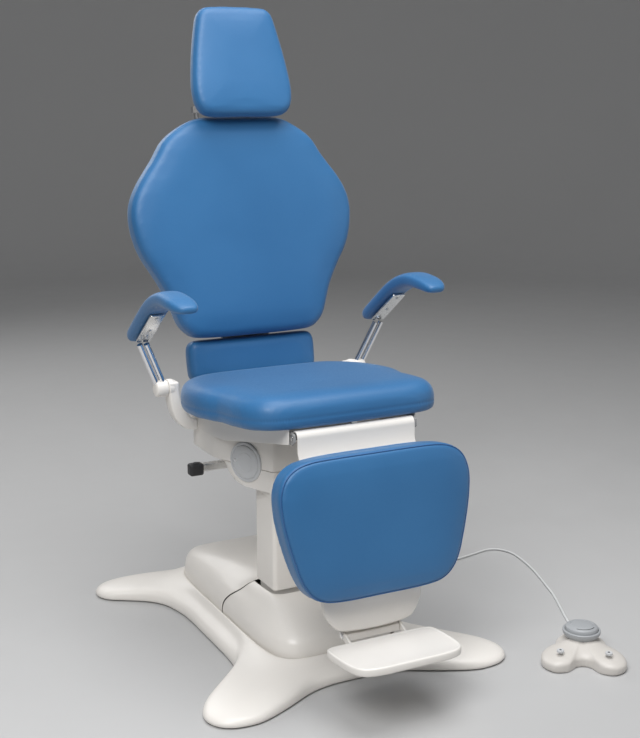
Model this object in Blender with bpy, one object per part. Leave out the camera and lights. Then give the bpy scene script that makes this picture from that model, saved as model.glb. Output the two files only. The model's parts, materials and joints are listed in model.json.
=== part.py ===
"""Powered examination chair: column lift, swivel, reclining back, leg rest, arms and foot control.

Metres, +Z up. The front of the chair faces -Y. The origin is on the floor, on the column axis.
"""
import math

import bmesh
import bpy
from mathutils import Vector

# ---------------------------------------------------------------- driving dimensions
GAP = 0.0005

# base
PLATE_T = 0.012
BASE_EDGE_Z = 0.003
RIM_Z = 0.052
RIM_HALF = 0.172
RIM_FRONT = -0.212
RIM_REAR = 0.448
COVER_T = 0.003
COLLAR_Z = 0.148
SPLIT_Y = 0.060
OPEN_HALF = 0.106
OPEN_FRONT = -0.056

# column stages, outer half sizes in x and y
SHROUD_HALF = (0.104, 0.052)
MIDDLE_HALF = (0.098, 0.046)
LOWER_HALF = (0.092, 0.040)
TUBE_WALL = 0.003
SHROUD_Z = (0.155, 0.380)
MIDDLE_Z = (0.100, 0.370)
LOWER_Z = (PLATE_T + GAP, 0.362)

# seat
SEAT_SLOPE = math.radians(5.0)
SEAT_T = 0.068
SEAT_MID_Z = 0.618
PAN_T = 0.010
SEAT_HALF_OUTLINE = [
    (0.000, 0.255), (0.080, 0.255), (0.150, 0.250), (0.195, 0.232), (0.228, 0.201),
    (0.247, 0.165), (0.262, 0.120), (0.270, 0.065), (0.270, 0.010), (0.262, -0.035),
    (0.252, -0.070), (0.249, -0.110), (0.246, -0.155), (0.236, -0.200), (0.212, -0.238),
    (0.170, -0.257), (0.090, -0.262), (0.000, -0.263),
]

# back: local frame of the padded panel, s runs up the panel, n points to the patient
BACK_LEAN = math.radians(10.0)
BACK_ORIGIN = Vector((0.0, 0.335, 1.005))
BACK_T = 0.070
BACK_HALF_OUTLINE = [
    (0.000, 0.238), (0.080, 0.238), (0.120, 0.234), (0.152, 0.220), (0.184, 0.197),
    (0.206, 0.170), (0.232, 0.135), (0.260, 0.095), (0.284, 0.052), (0.296, 0.008),
    (0.295, -0.030), (0.284, -0.064), (0.266, -0.104), (0.242, -0.145), (0.225, -0.178),
    (0.213, -0.212), (0.203, -0.245), (0.190, -0.278), (0.172, -0.297), (0.140, -0.307),
    (0.080, -0.309), (0.000, -0.309),
]
LUMBAR_HALF = 0.173
LUMBAR_S = (-0.415, -0.3105)
LUMBAR_N = (-0.045, 0.006)
BACK_PIVOT = (0.285, 0.545)

# headrest
HEAD_LEAN = math.radians(15.0)
HEAD_ORIGIN = Vector((0.0, 0.334, 1.306))
HEAD_T = 0.058
HEAD_HALF_OUTLINE = [
    (0.000, -0.060), (0.070, -0.060), (0.102, -0.055), (0.122, -0.039), (0.130, -0.014),
    (0.130, 0.015), (0.123, 0.070), (0.113, 0.125), (0.103, 0.170), (0.095, 0.189),
    (0.078, 0.201), (0.040, 0.204), (0.000, 0.204),
]
HEAD_LUG_S = 0.060
HEAD_PIN_S = 0.350
HEAD_PIN_N = -0.030

# leg rest
KNEE_PIVOT = (-0.250, 0.585)
KNEE_R = 0.014
LEG_LEAN = math.radians(8.0)
LEG_ORIGIN = Vector((0.0, -0.328, 0.553))
LEG_T = 0.060
LEG_HALF_OUTLINE = [
    (0.000, 0.009), (0.090, 0.009), (0.150, 0.007), (0.190, -0.002), (0.219, -0.024),
    (0.233, -0.060), (0.233, -0.100), (0.225, -0.150), (0.211, -0.205), (0.195, -0.252),
    (0.172, -0.285), (0.138, -0.302), (0.080, -0.307), (0.000, -0.307),
]
LEG_SHELL_HALF_OUTLINE = [
    (0.000, -0.012), (0.120, -0.012), (0.170, -0.022), (0.200, -0.055), (0.208, -0.100),
    (0.200, -0.150), (0.186, -0.205), (0.166, -0.245), (0.140, -0.275), (0.126, -0.300),
    (0.122, -0.325), (0.117, -0.346), (0.103, -0.369), (0.080, -0.384), (0.000, -0.390),
]
FOOT_PIN = (-0.332, 0.150)
FOOTPLATE_ORIGIN = Vector((0.0, -0.370, 0.1475))
FOOTPLATE_LEAN = math.radians(4.5)
FOOTPLATE_T = 0.018
FOOTPLATE_HALF_OUTLINE = [
    (0.000, -0.008), (0.086, -0.008), (0.120, -0.004), (0.132, 0.010), (0.135, 0.030),
    (0.134, 0.080), (0.129, 0.117), (0.114, 0.142), (0.086, 0.152), (0.040, 0.154), (0.000, 0.154),
]

# arms: pivot and pad centre line in the y-z plane with half thickness
ARM_PIVOT = (0.225, 0.605)
ARM_PAD_X = 0.318
ARM_PAD_LINE = [
    (-0.087, 0.8470, 0.0060, 0.0150), (-0.079, 0.8480, 0.0105, 0.0235),
    (-0.060, 0.8510, 0.0145, 0.0305), (-0.030, 0.8550, 0.0170, 0.0330),
    (0.020, 0.8565, 0.0185, 0.0330), (0.062, 0.8475, 0.0185, 0.0330),
    (0.105, 0.8290, 0.0180, 0.0330), (0.150, 0.8000, 0.0175, 0.0330),
    (0.200, 0.7635, 0.0175, 0.0330), (0.230, 0.7415, 0.0165, 0.0320),
    (0.242, 0.7330, 0.0125, 0.0270), (0.247, 0.7290, 0.0070, 0.0200),
]
ARM_DROP = math.radians(36.2)

# foot control on the floor
PEDAL_CENTRE = (0.524, -0.415)
PEDAL_TURN = math.radians(-34.0)
PEDAL_OUTLINE = [
    (0.000, 0.100), (0.036, 0.091), (0.054, 0.063), (0.061, 0.032), (0.080, 0.011),
    (0.0945, -0.021), (0.092, -0.058), (0.067, -0.082), (0.037, -0.075), (0.017, -0.049),
    (0.000, -0.042),
]
CORD_R = 0.0028

MATERIALS = {
    "upholstery": ((0.075, 0.215, 0.440, 1.0), 0.0, 0.42),
    "white_shell": ((0.820, 0.790, 0.750, 1.0), 0.0, 0.35),
    "grey_plastic": ((0.420, 0.450, 0.470, 1.0), 0.0, 0.40),
    "dark_plastic": ((0.030, 0.030, 0.032, 1.0), 0.0, 0.45),
    "painted_steel": ((0.620, 0.610, 0.590, 1.0), 0.3, 0.40),
    "silver_plate": ((0.600, 0.600, 0.600, 1.0), 1.0, 0.35),
    "chrome": ((0.780, 0.780, 0.780, 1.0), 1.0, 0.08),
    "rubber": ((0.050, 0.050, 0.050, 1.0), 0.0, 0.80),
    "cord_pvc": ((0.450, 0.460, 0.460, 1.0), 0.0, 0.50),
}


# ---------------------------------------------------------------- helpers
def clear_scene():
    for item in list(bpy.data.objects):
        bpy.data.objects.remove(item, do_unlink=True)


def material(name):
    found = bpy.data.materials.get(name)
    if found:
        return found
    colour, metallic, roughness = MATERIALS[name]
    made = bpy.data.materials.new(name)
    made.use_nodes = True
    shader = made.node_tree.nodes["Principled BSDF"]
    shader.inputs["Base Color"].default_value = colour
    shader.inputs["Metallic"].default_value = metallic
    shader.inputs["Roughness"].default_value = roughness
    made.diffuse_color = colour
    return made


def add_mesh(name, verts, faces, finish):
    mesh = bpy.data.meshes.new(name)
    mesh.from_pydata([tuple(v) for v in verts], [], faces)
    work = bmesh.new()
    work.from_mesh(mesh)
    bmesh.ops.recalc_face_normals(work, faces=work.faces)
    work.to_mesh(mesh)
    work.free()
    mesh.materials.append(material(finish))
    made = bpy.data.objects.new(name, mesh)
    bpy.context.scene.collection.objects.link(made)
    return made


def loft(name, rings, finish, cyclic=False):
    """Join equal loops of points. A cyclic loft closes on itself, otherwise both ends are capped."""
    count = len(rings[0])
    verts = [p for ring in rings for p in ring]
    faces = []
    spans = len(rings) if cyclic else len(rings) - 1
    for k in range(spans):
        a = k * count
        b = ((k + 1) % len(rings)) * count
        for i in range(count):
            j = (i + 1) % count
            faces.append((a + i, a + j, b + j, b + i))
    if not cyclic:
        faces.append(tuple(range(count)))
        faces.append(tuple(range((len(rings) - 1) * count, len(rings) * count)))
    return add_mesh(name, verts, faces, finish)


def thick_patch(name, outer, inner, finish):
    """Closed solid between two equal grids of points."""
    rows = len(outer)
    cols = len(outer[0])
    verts = [p for row in outer for p in row] + [p for row in inner for p in row]
    shift = rows * cols
    faces = []
    for i in range(rows - 1):
        for j in range(cols - 1):
            a = i * cols + j
            faces.append((a, a + 1, a + cols + 1, a + cols))
            b = a + shift
            faces.append((b, b + cols, b + cols + 1, b + 1))
    for j in range(cols - 1):
        faces.append((j, j + shift, j + 1 + shift, j + 1))
        a = (rows - 1) * cols + j
        faces.append((a, a + 1, a + 1 + shift, a + shift))
    for i in range(rows - 1):
        a = i * cols
        faces.append((a, a + cols, a + cols + shift, a + shift))
        b = a + cols - 1
        faces.append((b, b + shift, b + cols + shift, b + cols))
    return add_mesh(name, verts, faces, finish)


def box(name, low, high, finish, bevel=0.0):
    x0, y0, z0 = low
    x1, y1, z1 = high
    verts = [(x, y, z) for z in (z0, z1) for y in (y0, y1) for x in (x0, x1)]
    faces = [(0, 2, 3, 1), (4, 5, 7, 6), (0, 1, 5, 4), (2, 6, 7, 3), (0, 4, 6, 2), (1, 3, 7, 5)]
    made = add_mesh(name, verts, faces, finish)
    if bevel > 0.0:
        soften(made, bevel)
    return made


def soften(made, width, segments=1):
    work = bmesh.new()
    work.from_mesh(made.data)
    bmesh.ops.bevel(work, geom=list(work.edges), offset=width, segments=segments,
                    affect="EDGES", profile=0.5)
    work.to_mesh(made.data)
    work.free()


def circle(centre, axis_u, axis_v, radius, count):
    c = Vector(centre)
    u = Vector(axis_u)
    v = Vector(axis_v)
    return [c + u * (radius * math.cos(2 * math.pi * i / count))
            + v * (radius * math.sin(2 * math.pi * i / count)) for i in range(count)]


def cross_axes(direction):
    d = Vector(direction).normalized()
    side = Vector((0, 0, 1)) if abs(d.z) < 0.9 else Vector((1, 0, 0))
    u = d.cross(side).normalized()
    return u, d.cross(u).normalized()


def rod(name, start, end, radius, finish, count=20, chamfer=0.0):
    a = Vector(start)
    b = Vector(end)
    d = (b - a).normalized()
    u, v = cross_axes(d)
    if chamfer > 0.0:
        rings = [circle(a, u, v, radius - chamfer, count), circle(a + d * chamfer, u, v, radius, count),
                 circle(b - d * chamfer, u, v, radius, count), circle(b, u, v, radius - chamfer, count)]
    else:
        rings = [circle(a, u, v, radius, count), circle(b, u, v, radius, count)]
    return loft(name, rings, finish)


def sleeve(name, start, end, outer, inner, finish, count=20):
    a = Vector(start)
    b = Vector(end)
    u, v = cross_axes(b - a)
    rings = [circle(a, u, v, outer, count), circle(b, u, v, outer, count),
             circle(b, u, v, inner, count), circle(a, u, v, inner, count)]
    return loft(name, rings, finish, cyclic=True)


def round_rect(half_x, y0, y1, radius, steps=4):
    """Anticlockwise outline, corners of the given radius."""
    pts = []
    corners = [(half_x - radius, y1 - radius, 0), (-half_x + radius, y1 - radius, 90),
               (-half_x + radius, y0 + radius, 180), (half_x - radius, y0 + radius, 270)]
    for cx, cy, start in corners:
        for k in range(steps + 1):
            a = math.radians(start + 90.0 * k / steps)
            pts.append((cx + radius * math.cos(a), cy + radius * math.sin(a)))
    return pts


def mirrored(half):
    """Full outline from a half outline that starts and ends on the centre line."""
    return list(half) + [(-x, y) for x, y in reversed(half[1:-1])]


def offset_outline(pts, distance):
    """Move each corner of a closed outline inwards by a distance."""
    count = len(pts)
    area = sum(pts[i][0] * pts[(i + 1) % count][1] - pts[(i + 1) % count][0] * pts[i][1]
               for i in range(count))
    turn = 1.0 if area > 0 else -1.0
    moved = []
    for i in range(count):
        before = Vector(pts[i]) - Vector(pts[i - 1])
        after = Vector(pts[(i + 1) % count]) - Vector(pts[i])
        n1 = Vector((-before.y, before.x)).normalized() * turn
        n2 = Vector((-after.y, after.x)).normalized() * turn
        mid = (n1 + n2).normalized()
        scale = distance / max(0.5, mid.dot(n1))
        moved.append((pts[i][0] + mid.x * scale, pts[i][1] + mid.y * scale))
    return moved


def flat_ring(pts, z):
    return [Vector((x, y, z)) for x, y in pts]


def plate(name, pts, z0, z1, finish):
    return loft(name, [flat_ring(pts, z0), flat_ring(pts, z1)], finish)


def tube_stage(name, half, z_range, finish, closed_top=False):
    """Rectangular tube, open below; a closed top makes a cap of wall thickness."""
    outline = round_rect(half[0], -half[1], half[1], 0.012)
    inside = round_rect(half[0] - TUBE_WALL, -half[1] + TUBE_WALL, half[1] - TUBE_WALL, 0.009)
    z0, z1 = z_range
    if closed_top:
        rings = [flat_ring(inside, z1 - 0.008), flat_ring(inside, z0),
                 flat_ring(outline, z0), flat_ring(outline, z1)]
        return loft(name, rings, finish)
    rings = [flat_ring(inside, z0), flat_ring(outline, z0),
             flat_ring(outline, z1), flat_ring(inside, z1)]
    return loft(name, rings, finish, cyclic=True)


def side_plate(name, profile, x0, x1, finish):
    """Plate whose outline lies in the y-z plane."""
    return loft(name, [[Vector((x0, y, z)) for y, z in profile],
                       [Vector((x1, y, z)) for y, z in profile]], finish)


class Frame:
    """Leaning panel frame: s runs up the panel, n points forwards out of it."""

    def __init__(self, origin, lean):
        self.origin = origin
        self.up = Vector((0.0, math.sin(lean), math.cos(lean)))
        self.out = Vector((0.0, -math.cos(lean), math.sin(lean)))

    def at(self, x, s, n):
        return self.origin + Vector((x, 0, 0)) + self.up * s + self.out * n

    def ring(self, pts, n):
        return [self.at(x, s, n) for x, s in pts]


def panel(name, frame, pts, n0, n1, finish):
    return loft(name, [frame.ring(pts, n0), frame.ring(pts, n1)], finish)


def cushion(name, frame, pts, n0, n1, radius, finish, crown=0.006):
    """Pad with rounded edges: rear face at n0, front face at n1."""
    rings = [
        frame.ring(offset_outline(pts, radius * 0.45), n0),
        frame.ring(offset_outline(pts, radius * 0.08), n0 + radius * 0.45),
        frame.ring(pts, 0.5 * (n0 + n1)),
        frame.ring(offset_outline(pts, radius * 0.10), n1 - radius * 0.85),
        frame.ring(offset_outline(pts, radius * 0.38), n1 - radius * 0.33),
        frame.ring(offset_outline(pts, radius * 1.00), n1 - crown),
        frame.ring(offset_outline(pts, radius * 1.75), n1),
    ]
    return loft(name, rings, finish)


def bore(target, start, end, radius, tag):
    """Drill a round hole through a part."""
    cutter = rod("cut_" + tag, start, end, radius, "dark_plastic", count=20)
    cutter.hide_render = True
    cutter.hide_viewport = False
    cutter.display_type = "WIRE"
    cut = target.modifiers.new("bore_" + tag, "BOOLEAN")
    cut.operation = "DIFFERENCE"
    cut.solver = "EXACT"
    cut.object = cutter


def weld(target, piece, tag):
    """Fuse a hidden helper solid into a part."""
    piece.hide_render = True
    piece.display_type = "WIRE"
    join = target.modifiers.new("weld_" + tag, "BOOLEAN")
    join.operation = "UNION"
    join.solver = "EXACT"
    join.object = piece


# ---------------------------------------------------------------- base
def foot_outline():
    """Floor outline of the four-footed base, from the rear middle round to the rear middle."""
    rear = [
        (0.000, 0.477), (0.080, 0.479), (0.150, 0.486), (0.225, 0.502), (0.290, 0.518),
        (0.342, 0.516), (0.372, 0.492), (0.377, 0.456), (0.358, 0.424), (0.318, 0.398),
        (0.268, 0.362), (0.238, 0.318), (0.222, 0.250), (0.218, 0.190), (0.218, 0.110),
    ]
    front = [
        (0.218, 0.030), (0.219, -0.040), (0.224, -0.088), (0.236, -0.126), (0.262, -0.158),
        (0.312, -0.190), (0.352, -0.228), (0.374, -0.266), (0.377, -0.302), (0.359, -0.334),
        (0.324, -0.351), (0.270, -0.351), (0.200, -0.322), (0.120, -0.281), (0.060, -0.267),
        (0.000, -0.266),
    ]
    return rear + front


def rim_angles(half):
    """Angle on the rim for each point of the half outline, spread by length between anchors."""
    anchors = [(0, 90.0), (6, 45.0), (15, 0.0), (22, -45.0), (len(half) - 1, -90.0)]
    angles = [0.0] * len(half)
    for (i0, a0), (i1, a1) in zip(anchors, anchors[1:]):
        steps = [math.dist(half[k], half[k + 1]) for k in range(i0, i1)]
        total = sum(steps)
        run = 0.0
        angles[i0] = a0
        for k in range(i0, i1):
            run += steps[k - i0]
            angles[k + 1] = a0 + (a1 - a0) * run / total
    return angles


def rim_at(angle, grow=0.0):
    """Rounded rectangle round the covers, at an angle in degrees measured from +X."""
    c = math.cos(math.radians(angle))
    s = math.sin(math.radians(angle))
    scale = (abs(c) ** 6.5 + abs(s) ** 6.5) ** (-1.0 / 6.5)
    mid = 0.5 * (RIM_FRONT + RIM_REAR)
    hx = RIM_HALF + grow
    hy = 0.5 * (RIM_REAR - RIM_FRONT) + grow
    return (c * scale * hx, mid + s * scale * hy)


def build_base():
    half = foot_outline()
    angles = rim_angles(half)
    outline = mirrored(half)
    turns = angles + [180.0 - a for a in reversed(angles[1:-1])]
    rim = [rim_at(a) for a in turns]
    rim_in = [rim_at(a, -0.005) for a in turns]
    plate("base_plate", offset_outline(outline, 0.012), 0.0, PLATE_T, "painted_steel")

    def between(t, z):
        return [Vector((a[0] + (b[0] - a[0]) * t, a[1] + (b[1] - a[1]) * t, z))
                for a, b in zip(outline, rim)]

    plate_clear = offset_outline(outline, 0.0105)
    rings = [
        flat_ring(outline, BASE_EDGE_Z),
        flat_ring(outline, 0.012),
        between(0.06, 0.021),
        between(0.22, 0.0275),
        between(0.50, 0.0345),
        between(0.80, 0.0440),
        flat_ring(rim, RIM_Z),
        flat_ring(rim_in, RIM_Z),
        flat_ring(rim_in, PLATE_T + GAP),
        flat_ring(plate_clear, PLATE_T + GAP),
        flat_ring(plate_clear, BASE_EDGE_Z),
    ]
    loft("base_body", rings, "white_shell", cyclic=True)


def cover_angles(front):
    """Rim angles between the two ends of the split, from the patient's left to right."""
    mid = 0.5 * (RIM_FRONT + RIM_REAR)
    ratio = (SPLIT_Y - mid) / (0.5 * (RIM_REAR - RIM_FRONT))
    split = math.degrees(math.atan(ratio))
    known = rim_angles(foot_outline())
    if front:
        side = [a for a in known if a < split - 2.0]
        full = [split] + side + [-180.0 - a for a in reversed(side[:-1])] + [-180.0 - split]
    else:
        side = [a for a in reversed(known) if a > split + 2.0]
        full = [split] + side + [180.0 - a for a in reversed(side[:-1])] + [180.0 - split]
    return full


def cover_rows(front, inset):
    """Grid of points from the rim up to the column opening."""
    angles = cover_angles(front)
    edge_y = SPLIT_Y - GAP if front else SPLIT_Y + GAP
    if front:
        levels = [(-0.0060, 0.030), (-0.0060, 0.060), (-0.0100, 0.078), (-0.0200, 0.094)]
    else:
        levels = [(-0.0060, 0.030), (-0.0060, 0.068), (-0.0110, 0.096), (-0.0240, 0.115)]
    rows = []
    for index, (grow, z) in enumerate(levels):
        drop = 0.0 if index == 0 else inset * 0.8
        row = [Vector((*rim_at(a, grow - inset), z - drop)) for a in angles]
        row[0].y = edge_y
        row[-1].y = edge_y
        rows.append(row)
    last = rows[-1]
    top = COLLAR_Z - inset
    opening = []
    for k in range(len(angles)):
        turn = math.pi * k / (len(angles) - 1)
        if front:
            c = math.cos(turn)
            s = math.sin(turn)
            scale = 1.0 / max(abs(c), abs(s))
            y = edge_y - s * scale * (edge_y - OPEN_FRONT)
            opening.append(Vector((c * scale * OPEN_HALF, y, top)))
        else:
            x = OPEN_HALF * (1.0 - 2.0 * k / (len(angles) - 1))
            opening.append(Vector((x, edge_y, top)))
    for t, lift in ((0.30, 0.42), (0.65, 0.80), (1.0, 1.0)):
        rows.append([Vector((p.x + (q.x - p.x) * t, p.y + (q.y - p.y) * t,
                             p.z + (q.z - p.z) * lift)) for p, q in zip(last, opening)])
    return rows


def build_covers():
    for front, name in ((True, "base_front_cover"), (False, "base_rear_cover")):
        thick_patch(name, cover_rows(front, 0.0), cover_rows(front, COVER_T), "white_shell")


def build_column():
    tube_stage("column_lower", LOWER_HALF, LOWER_Z, "painted_steel")
    tube_stage("column_middle", MIDDLE_HALF, MIDDLE_Z, "painted_steel")
    tube_stage("column_shroud", SHROUD_HALF, SHROUD_Z, "white_shell", closed_top=True)
    sleeve("lift_actuator_body", (0, 0, PLATE_T + GAP), (0, 0, 0.330), 0.030, 0.0155,
           "dark_plastic", count=24)
    rod("lift_actuator_rod", (0, 0, 0.060), (0, 0, SHROUD_Z[1] - 0.008 - GAP), 0.0145, "chrome")


def build_cord_gland():
    rod("cord_gland", (RIM_HALF + 0.0005, 0.205, 0.0640), (RIM_HALF + 0.018, 0.205, 0.0640),
        0.008, "grey_plastic", chamfer=0.001)


# ---------------------------------------------------------------- seat
def seat_frame():
    frame = Frame(Vector((0.0, 0.0, SEAT_MID_Z)), 0.0)
    frame.up = Vector((0.0, math.cos(SEAT_SLOPE), -math.sin(SEAT_SLOPE)))
    frame.out = Vector((0.0, math.sin(SEAT_SLOPE), math.cos(SEAT_SLOPE)))
    return frame


def build_seat():
    frame = seat_frame()
    cushion("seat_cushion", frame, mirrored(SEAT_HALF_OUTLINE), -SEAT_T / 2, SEAT_T / 2, 0.030,
            "upholstery")
    pan = mirrored([(0.0, -0.140), (0.140, -0.140), (0.1525, -0.128), (0.1525, -0.066),
                    (0.100, -0.058), (0.100, 0.225), (0.0, 0.225)])
    panel("seat_pan", frame, pan, -SEAT_T / 2 - GAP - PAN_T, -SEAT_T / 2 - GAP, "painted_steel")


def housing_outline(px, py, rx, ry, front=-0.056, half=0.106):
    """Half outline listed front to rear, mirrored into a closed loop."""
    right = [(0.0, front), (half * 0.6, front), (half, front), (half + (px - half) * 0.5,
             front + (py - front) * 0.5), (px, py), (rx, 0.5 * (py + ry - 0.012)), (rx, ry - 0.012),
             (rx - 0.012, ry), (rx * 0.5, ry), (0.0, ry)]
    return mirrored(right)


def build_housing():
    levels = [
        (0.3805, 0.107, 0.010, 0.107, 0.058),
        (0.3940, 0.107, 0.010, 0.107, 0.058),
        (0.3965, 0.1389, 0.0202, 0.1389, 0.062),
        (0.4000, 0.1470, 0.0390, 0.1470, 0.070),
        (0.4120, 0.1552, 0.0578, 0.1552, 0.088),
        (0.4300, 0.1607, 0.0707, 0.1607, 0.104),
        (0.4470, 0.1630, 0.0761, 0.1630, 0.112),
        (0.4485, 0.1805, 0.120, 0.1805, 0.2615),
        (0.5305, 0.1805, 0.120, 0.1805, 0.2615),
    ]
    outer = []
    inner = []
    for z, px, py, rx, ry in levels:
        pts = housing_outline(px, py, rx, ry)
        outer.append(flat_ring(pts, z))
        lift = 0.003 if 0.4475 < z < 0.46 else 0.0
        inner.append(flat_ring(offset_outline(pts, 0.003), z + lift))
    loft("swivel_housing", outer + inner[::-1], "white_shell", cyclic=True)
    rod("swivel_bearing", (0, 0, 0.3805), (0, 0, 0.4000), 0.046, "painted_steel", count=28)

    floor = mirrored([(0.0, -0.0525), (0.102, -0.0525), (0.1785, 0.1195), (0.180, 0.150),
                      (0.180, 0.250), (0.174, 0.2605), (0.0, 0.2605)])
    chassis = plate("chassis_frame", floor, 0.531, 0.537, "painted_steel")
    post = box("weld_pedestal", (-0.060, -0.040, 0.4005), (0.060, 0.040, 0.5340), "painted_steel")
    weld(chassis, post, "pedestal")
    riser = box("weld_riser", (-0.098, -0.050, 0.5340), (0.098, 0.195, 0.5520), "painted_steel")
    weld(chassis, riser, "riser")
    for side, tag in ((-1, "L"), (1, "R")):
        build_skirt(side, tag)
        build_knee_bracket(side, tag)
        build_back_bracket(side, tag)
        build_cap(side, tag)


def build_skirt(side, tag):
    """Trim wall under the cushion, following its slope, from the middle of the front to the rear."""
    outer = [(0.001, -0.0575), (0.1014, -0.0575), (0.1050, -0.0575), (0.1085, -0.0560),
             (0.1835, 0.119), (0.185, 0.150), (0.185, 0.255), (0.178, 0.266), (0.100, 0.266)]
    inner = [(0.001, -0.0540), (0.1010, -0.0540), (0.1030, -0.0540), (0.1048, -0.0530),
             (0.1800, 0.1195), (0.1815, 0.150), (0.1815, 0.254), (0.177, 0.2625),
             (0.100, 0.2625)]

    def rows(pts):
        low = []
        high = []
        for x, y in pts:
            drop = 0.0135 if x < 0.1020 and y < 0.0 else 0.0060
            top = SEAT_MID_Z - SEAT_T / 2 - drop - math.tan(SEAT_SLOPE) * y
            low.append(Vector((side * x, y, 0.5310)))
            high.append(Vector((side * x, y, top)))
        return [low, high]

    thick_patch("seat_skirt_" + tag, rows(outer), rows(inner), "white_shell")


def build_knee_bracket(side, tag):
    profile = [(-0.0680, 0.5560), (-0.0680, 0.5780), (-0.1400, 0.5843), (-0.1850, 0.5900),
               (-0.2430, 0.5980), (-0.2600, 0.5940), (-0.2620, 0.5780), (-0.2500, 0.5690),
               (-0.2050, 0.5640), (-0.1400, 0.5560)]
    x0, x1 = sorted((side * 0.1475, side * 0.1525))
    made = side_plate("knee_bracket_" + tag, profile, x0, x1, "painted_steel")
    y, z = KNEE_PIVOT
    bore(made, (x0 - 0.01, y, z), (x1 + 0.01, y, z), 0.0066, "knee_" + tag)


def build_back_bracket(side, tag):
    y, z = BACK_PIVOT
    profile = [(0.200, 0.5375), (0.200, 0.5505), (0.262, 0.5505), (0.272, 0.562), (0.290, 0.566),
               (0.305, 0.556), (0.306, 0.536), (0.292, 0.524), (0.264, 0.5245), (0.264, 0.5375)]
    x0, x1 = sorted((side * 0.0655, side * 0.0735))
    made = side_plate("back_bracket_" + tag, profile, x0, x1, "painted_steel")
    bore(made, (x0 - 0.01, y, z), (x1 + 0.01, y, z), 0.0086, "backb_" + tag)


def build_cap(side, tag):
    """Round trim disc on the tapering side of the housing."""
    angle = math.atan2(0.076, 0.176)
    out = Vector((side * math.cos(angle), -math.sin(angle), 0.0))
    along = Vector((side * math.sin(angle), math.cos(angle), 0.0))
    foot = Vector((side * 0.106, -0.056, 0.4585)) + along * 0.083
    up = Vector((0, 0, 1))
    rings = []
    for depth, radius in ((0.0008, 0.0480), (0.0040, 0.0480), (0.0052, 0.0465), (0.0052, 0.0405),
                          (0.0040, 0.0395), (0.0040, 0.0355), (0.0050, 0.0345)):
        rings.append(circle(foot + out * depth, along, up, radius, 28))
    loft("side_cap_" + tag, rings, "grey_plastic")


# ---------------------------------------------------------------- back
def build_back():
    frame = Frame(BACK_ORIGIN, BACK_LEAN)
    outline = mirrored(BACK_HALF_OUTLINE)
    half = BACK_T / 2
    cushion("back_cushion", frame, outline, -half, half, 0.030, "upholstery")
    shell = offset_outline(outline, 0.016)
    panel("back_shell", frame, shell, -half - 0.0135, -half - GAP, "white_shell")
    lumbar = [(x, s) for x, s in round_rect(LUMBAR_HALF, LUMBAR_S[0], LUMBAR_S[1], 0.030)]
    cushion("lumbar_cushion", frame, lumbar, LUMBAR_N[0], LUMBAR_N[1], 0.022, "upholstery", 0.004)
    y, z = BACK_PIVOT
    rear = -half - 0.0140
    spine = []
    for s, n in ((-0.400, rear), (0.150, rear), (0.150, rear - 0.012), (-0.410, rear - 0.012)):
        p = frame.at(0.0, s, n)
        spine.append((p.y, p.z))
    profile = []
    for k in range(11):
        a = math.radians(150.0 + 21.0 * k)
        profile.append((y + 0.022 * math.cos(a), z + 0.022 * math.sin(a)))
    profile = profile + [spine[3], spine[2], spine[1], spine[0]]
    made = side_plate("back_frame", profile, -0.065, 0.065, "painted_steel")
    bore(made, (-0.08, y, z), (0.08, y, z), 0.0086, "backf")
    rod("back_pivot_pin", (-0.078, y, z), (0.078, y, z), 0.0080, "chrome")
    build_head_guides(frame, rear)


def build_head_guides(frame, rear):
    """One guide block behind the back shell with two bores for the headrest bars."""
    pts = [(-0.105, 0.060), (0.105, 0.060), (0.105, 0.140), (-0.105, 0.140)]
    made = panel("head_guide", frame, pts, rear - 0.0350, rear - 0.0130, "dark_plastic")
    for side, tag in ((-1, "L"), (1, "R")):
        x = side * 0.075
        bore(made, frame.at(x, 0.030, rear - 0.0240), frame.at(x, 0.200, rear - 0.0240), 0.0066,
             "guide_" + tag)


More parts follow.
